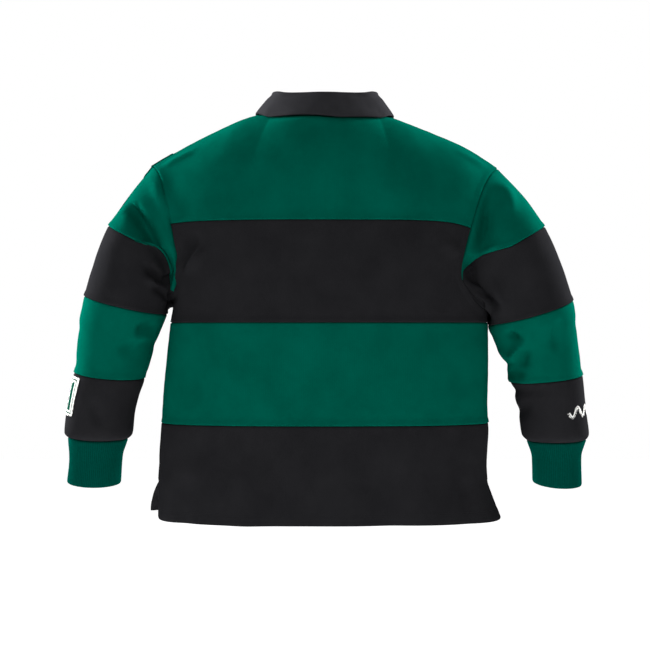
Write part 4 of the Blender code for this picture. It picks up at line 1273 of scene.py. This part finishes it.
STITCH_INSET, BOX_HEIGHT = 2.2, 20
down = lengths(strip)[1][:, len(strip_columns) // 2]
box_low, box_high = np.interp((STITCH_INSET, BOX_HEIGHT), down, strip_rows)
edge = STRIP_COLUMN * (1 - STITCH_INSET / STRIP_HALF)
level = np.linspace(-edge, edge, 16)
rows = [on_cloth(strip, np.linspace(box_low, strip_rows[-3], 60), column) for column in (-edge, edge)]
rows += [on_cloth(strip, row, level) for row in (box_low, box_high)]
rows += [on_cloth(strip, np.linspace(box_low, box_high, 16), way * level) for way in (1, -1)]
sew("placket_stitches", rows, "black_twill", BLACK_THREAD)

# ----------------------------------------------------------
# The buttons: three flat black rubber buttons with a raised rim and a dished face, each sewn on through four
# holes. The holes are the dark wells under the thread.
BUTTON_HEIGHTS = (-118, -160, -202)
BUTTON_THICK, BUTTON_CLEAR = 2.6, 0.5
# The button's outline from the middle of its back to the middle of its face: how far out, and how high.
BUTTON_PROFILE = (
    (0.0, -1.3), (6.4, -1.3), (7.2, -1.05), (7.5, -0.4), (7.5, 0.5), (7.2, 1.05), (6.7, 1.3), (6.1, 1.25),
    (5.6, 0.85), (5.1, 0.55), (3.0, 0.5), (0.0, 0.5),
)
HOLE_RADIUS, HOLE_PLACE, HOLE_LEVEL = 0.85, 1.55, 0.53
SEWN_HALF, SEWN_LEVEL, SEWN_APART = 1.9, 0.75, 0.25
BUTTONHOLE_HALF, BUTTONHOLE_PITCH, BUTTONHOLE_LEVEL, BAR_HALF, TACK_HALF = 9.5, 0.75, 0.25, 1.1, 1.6
# Moulded hard rubber: satin rather than glossy, with a faint bloom of grey in clouds of 4 to 5 mm.
BLACK_RUBBER, tree, shader = begin_material("black_moulded_rubber", "#1A1A1C", 0.48, 0.4)
place = node(tree, "ShaderNodeTexCoord").outputs["Object"]
cloud = node(tree, "ShaderNodeTexNoise", {"Vector": place, "Scale": 220, "Detail": 3.0})
base = node(tree, "ShaderNodeMix", {0: cloud, 6: linear("#141416"), 7: linear("#232327")}, data_type="RGBA")
rough = node(tree, "ShaderNodeMapRange", {0: cloud, 3: 0.26, 4: 0.42})
feed(shader, {"Base Color": base.outputs[2], "Roughness": rough})

hole_rows, button_rows = [], []
for number, height in enumerate(BUTTON_HEIGHTS, 1):
    middle = len(strip_columns) // 2
    row = float(np.interp(height, strip.points[:, middle, 2], strip_rows))
    places, ways = on_cloth(strip, [row], [0.0])
    place, way = Vector(places[0]), Vector(ways[0])
    turn = way.to_track_quat("Z", "Y").to_matrix()
    seat = place + way * (BUTTON_CLEAR + BUTTON_THICK / 2)
    bm = bmesh.new()
    outline = [bm.verts.new((r, 0, z)) for r, z in BUTTON_PROFILE]
    edges = [bm.edges.new(pair) for pair in zip(outline, outline[1:])]
    bmesh.ops.spin(
        bm, geom=[*outline, *edges], axis=(0, 0, 1), angle=2 * math.pi, steps=40, use_merge=True
    )
    bmesh.ops.remove_doubles(bm, verts=bm.verts, dist=0.01)
    for x, y in product((HOLE_PLACE, -HOLE_PLACE), repeat=2):
        well = bmesh.ops.create_circle(bm, cap_ends=True, segments=14, radius=HOLE_RADIUS)["verts"]
        bmesh.ops.translate(bm, vec=(x, y, HOLE_LEVEL), verts=well)
        for face in {f for v in well for f in v.link_faces}:
            face.material_index = 1
    bmesh.ops.recalc_face_normals(bm, faces=[f for f in bm.faces if f.material_index == 0])
    for v in bm.verts:
        v.co = (seat + turn @ v.co) * MM
    mesh = bpy.data.meshes.new(f"button_{number}_rubber")
    bm.to_mesh(mesh)
    bm.free()
    mesh.shade_smooth()
    mesh.set_sharp_from_angle(angle=math.radians(40))
    mesh.materials.append(BLACK_RUBBER)
    mesh.materials.append(BLACK_THREAD)
    button = bpy.data.objects.new(mesh.name, mesh)
    bpy.context.scene.collection.objects.link(button)
    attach(button, "root")
    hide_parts(f"button_{number}")
    for x in (-HOLE_PLACE, HOLE_PLACE):
        for shift in (-SEWN_APART, SEWN_APART):
            ends = [seat + turn @ Vector((x + shift, y, SEWN_LEVEL)) for y in (-SEWN_HALF, SEWN_HALF)]
            button_rows.append((np.array(ends), np.array([way, way])))
    for offset in np.arange(-BUTTONHOLE_HALF, BUTTONHOLE_HALF + 0.1, BUTTONHOLE_PITCH):
        centre = place + turn @ Vector((0, offset, 0))
        wide = BAR_HALF if abs(offset) < BUTTONHOLE_HALF - 0.5 else TACK_HALF
        ends = [centre + turn @ Vector((x, 0, BUTTONHOLE_LEVEL)) for x in (-wide, wide)]
        hole_rows.append((np.array(ends), np.array([way, way])))
grain = {"pitch": 2.0, "length": 2.6, "width": 0.5, "height": 0.5}
sew("button_threads", button_rows, "black_button", BLACK_THREAD, **grain)
grain = {"pitch": 1.4, "length": 1.6, "width": 0.6, "height": 0.35}
sew("buttonhole_stitches", hole_rows, "black_twill", BLACK_THREAD, **grain)

# ----------------------------------------------------------
# The badge: a woven white patch sewn round the outer edge of the left wrist with a satin-stitched border. Its
# design is its own: a thin green line all round, a green bar on either hand and black chequers between.
BADGE, BADGE_STATIONS, BADGE_TURN = 0.8, (394, 455), (-31, 44)
# How far in from the edge each part of the design is, and the size of a chequer.
LINE_IN, LINE_HALF, FIELD_IN, BAR_END, CHEQUER = 4.5, 1.2, 9, 20, 6
BORDER_WIDE, BORDER_GAP, BORDER_IN = 2.2, 0.6, 1
left = sleeves[1]
badge_rows = np.linspace(*BADGE_STATIONS, 48)
badge_turns = np.linspace(*BADGE_TURN, 72)
badge = patch_of(left, badge_rows, badge_turns, "sleeve_badge")
# Damask weave: flat white satin, its design woven in green and black, with weft floats 0.5 mm apart, drawn at
# 0.8 mm so that they read.
WOVEN_BADGE, tree, shader = begin_material("white_woven_badge", "#CDCDC8", 0.8, 0.0)
across, down = lengths(badge)
wide, tall = float(np.ptp(across[len(badge_rows) // 2])), float(down[-1, len(badge_turns) // 2])
u, v = cloth_ways(tree)
v = node(tree, "ShaderNodeMath", {0: v, 1: tall / 2}, operation="SUBTRACT")
to_edge = []
for from_middle, half in ((u, wide / 2), (v, tall / 2)):
    reach = node(tree, "ShaderNodeMath", {0: from_middle}, operation="ABSOLUTE")
    to_edge.append(node(tree, "ShaderNodeMath", {0: half, 1: reach}, operation="SUBTRACT"))
nearest = node(tree, "ShaderNodeMath", {0: to_edge[0], 1: to_edge[1]}, operation="MINIMUM")
# The line round the badge, and inside it an upright bar on either hand with chequers between the bars.
line = node(tree, "ShaderNodeMath", {0: nearest, 1: LINE_IN, 2: LINE_HALF}, operation="COMPARE")
inside = node(tree, "ShaderNodeMath", {0: nearest, 1: FIELD_IN}, operation="GREATER_THAN")
beside = node(tree, "ShaderNodeMath", {0: to_edge[0], 1: BAR_END}, operation="LESS_THAN")
bars = node(tree, "ShaderNodeMath", {0: inside, 1: beside}, operation="MULTIPLY")
green = node(tree, "ShaderNodeMath", {0: bars, 1: line}, operation="MAXIMUM")
place = node(tree, "ShaderNodeUVMap", uv_map="cloth")
black_and_white = {"Color1": (1, 1, 1, 1), "Color2": (0, 0, 0, 1)}
checks = node(tree, "ShaderNodeTexChecker", {"Vector": place, "Scale": 1 / CHEQUER, **black_and_white})
black = node(tree, "ShaderNodeMath", {0: inside, 1: checks.outputs["Fac"]}, operation="MULTIPLY")
woven = node(tree, "ShaderNodeMix", {0: black, 6: linear("#CDCDC8"), 7: linear("#1E1E20")}, data_type="RGBA")
woven = node(tree, "ShaderNodeMix", {0: green, 6: woven.outputs[2], 7: linear("#06382D")}, data_type="RGBA")
floats = node(tree, "ShaderNodeMath", {0: v, 1: 0.4}, operation="PINGPONG")
bump = node(tree, "ShaderNodeBump", {"Height": floats, "Strength": 0.4, "Distance": 0.0004})
feed(shader, {"Base Color": woven.outputs[2], "Normal": bump})
make_piece(
    "sleeve_badge", badge, None, BADGE, WOVEN_BADGE, "white_badge",
    free=np.ones(badge.points.shape[:2], bool), raised=SEAM_GAP + BADGE, inset=SEWN_INSET,
)

WHITE_THREAD = thread_material("white_rayon_thread", "#F2F2EE")


def satin(cloth, rows, columns, wide, gap):
    """A satin-stitched line: threads side by side across a path over a cloth."""
    places, ways = spread(*on_cloth(cloth, rows, columns), gap)
    along = unit(np.gradient(places, axis=0))
    side = unit(np.cross(ways, along)) * wide / 2
    return [(np.array([p - s, p + s]), np.array([w, w])) for p, s, w in zip(places, side, ways)]


border = []
low, first = badge_rows[0] + BORDER_IN, badge_turns[0] + BORDER_IN
high, last = badge_rows[-1] - BORDER_IN, badge_turns[-1] - BORDER_IN
corners = ((low, first), (low, last), (high, last), (high, first), (low, first))
for (r0, c0), (r1, c1) in zip(corners, corners[1:]):
    border += satin(badge, np.linspace(r0, r1, 40), np.linspace(c0, c1, 40), BORDER_WIDE, BORDER_GAP)
grain = {"pitch": BORDER_WIDE, "length": 2.4, "width": 0.62, "height": 0.5}
sew("badge_border", border, "white_badge", WHITE_THREAD, **grain)

# ----------------------------------------------------------
# The right wrist's embroidery: a plain line of five even waves, worked in white rayon satin stitch straight
# into the jersey, round the outer edge of the sleeve.
WAVE_MIDDLE, WAVE_HALF, WAVE_TURN, WAVE_COUNT = 444, 8, 68, 5
WAVE_WIDE, WAVE_GAP = 2.8, 0.55
right = sleeves[-1]
turns = np.linspace(-WAVE_TURN, WAVE_TURN, 400)
stations = WAVE_MIDDLE + WAVE_HALF * np.sin(turns / WAVE_TURN * WAVE_COUNT * math.pi)
worked = satin(right, stations, turns, WAVE_WIDE, WAVE_GAP)
grain = {"pitch": WAVE_WIDE, "length": 3.1, "width": 0.62, "height": 0.5}
sew("wrist_embroidery", worked, "white_badge", WHITE_THREAD, **grain)

low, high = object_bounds()
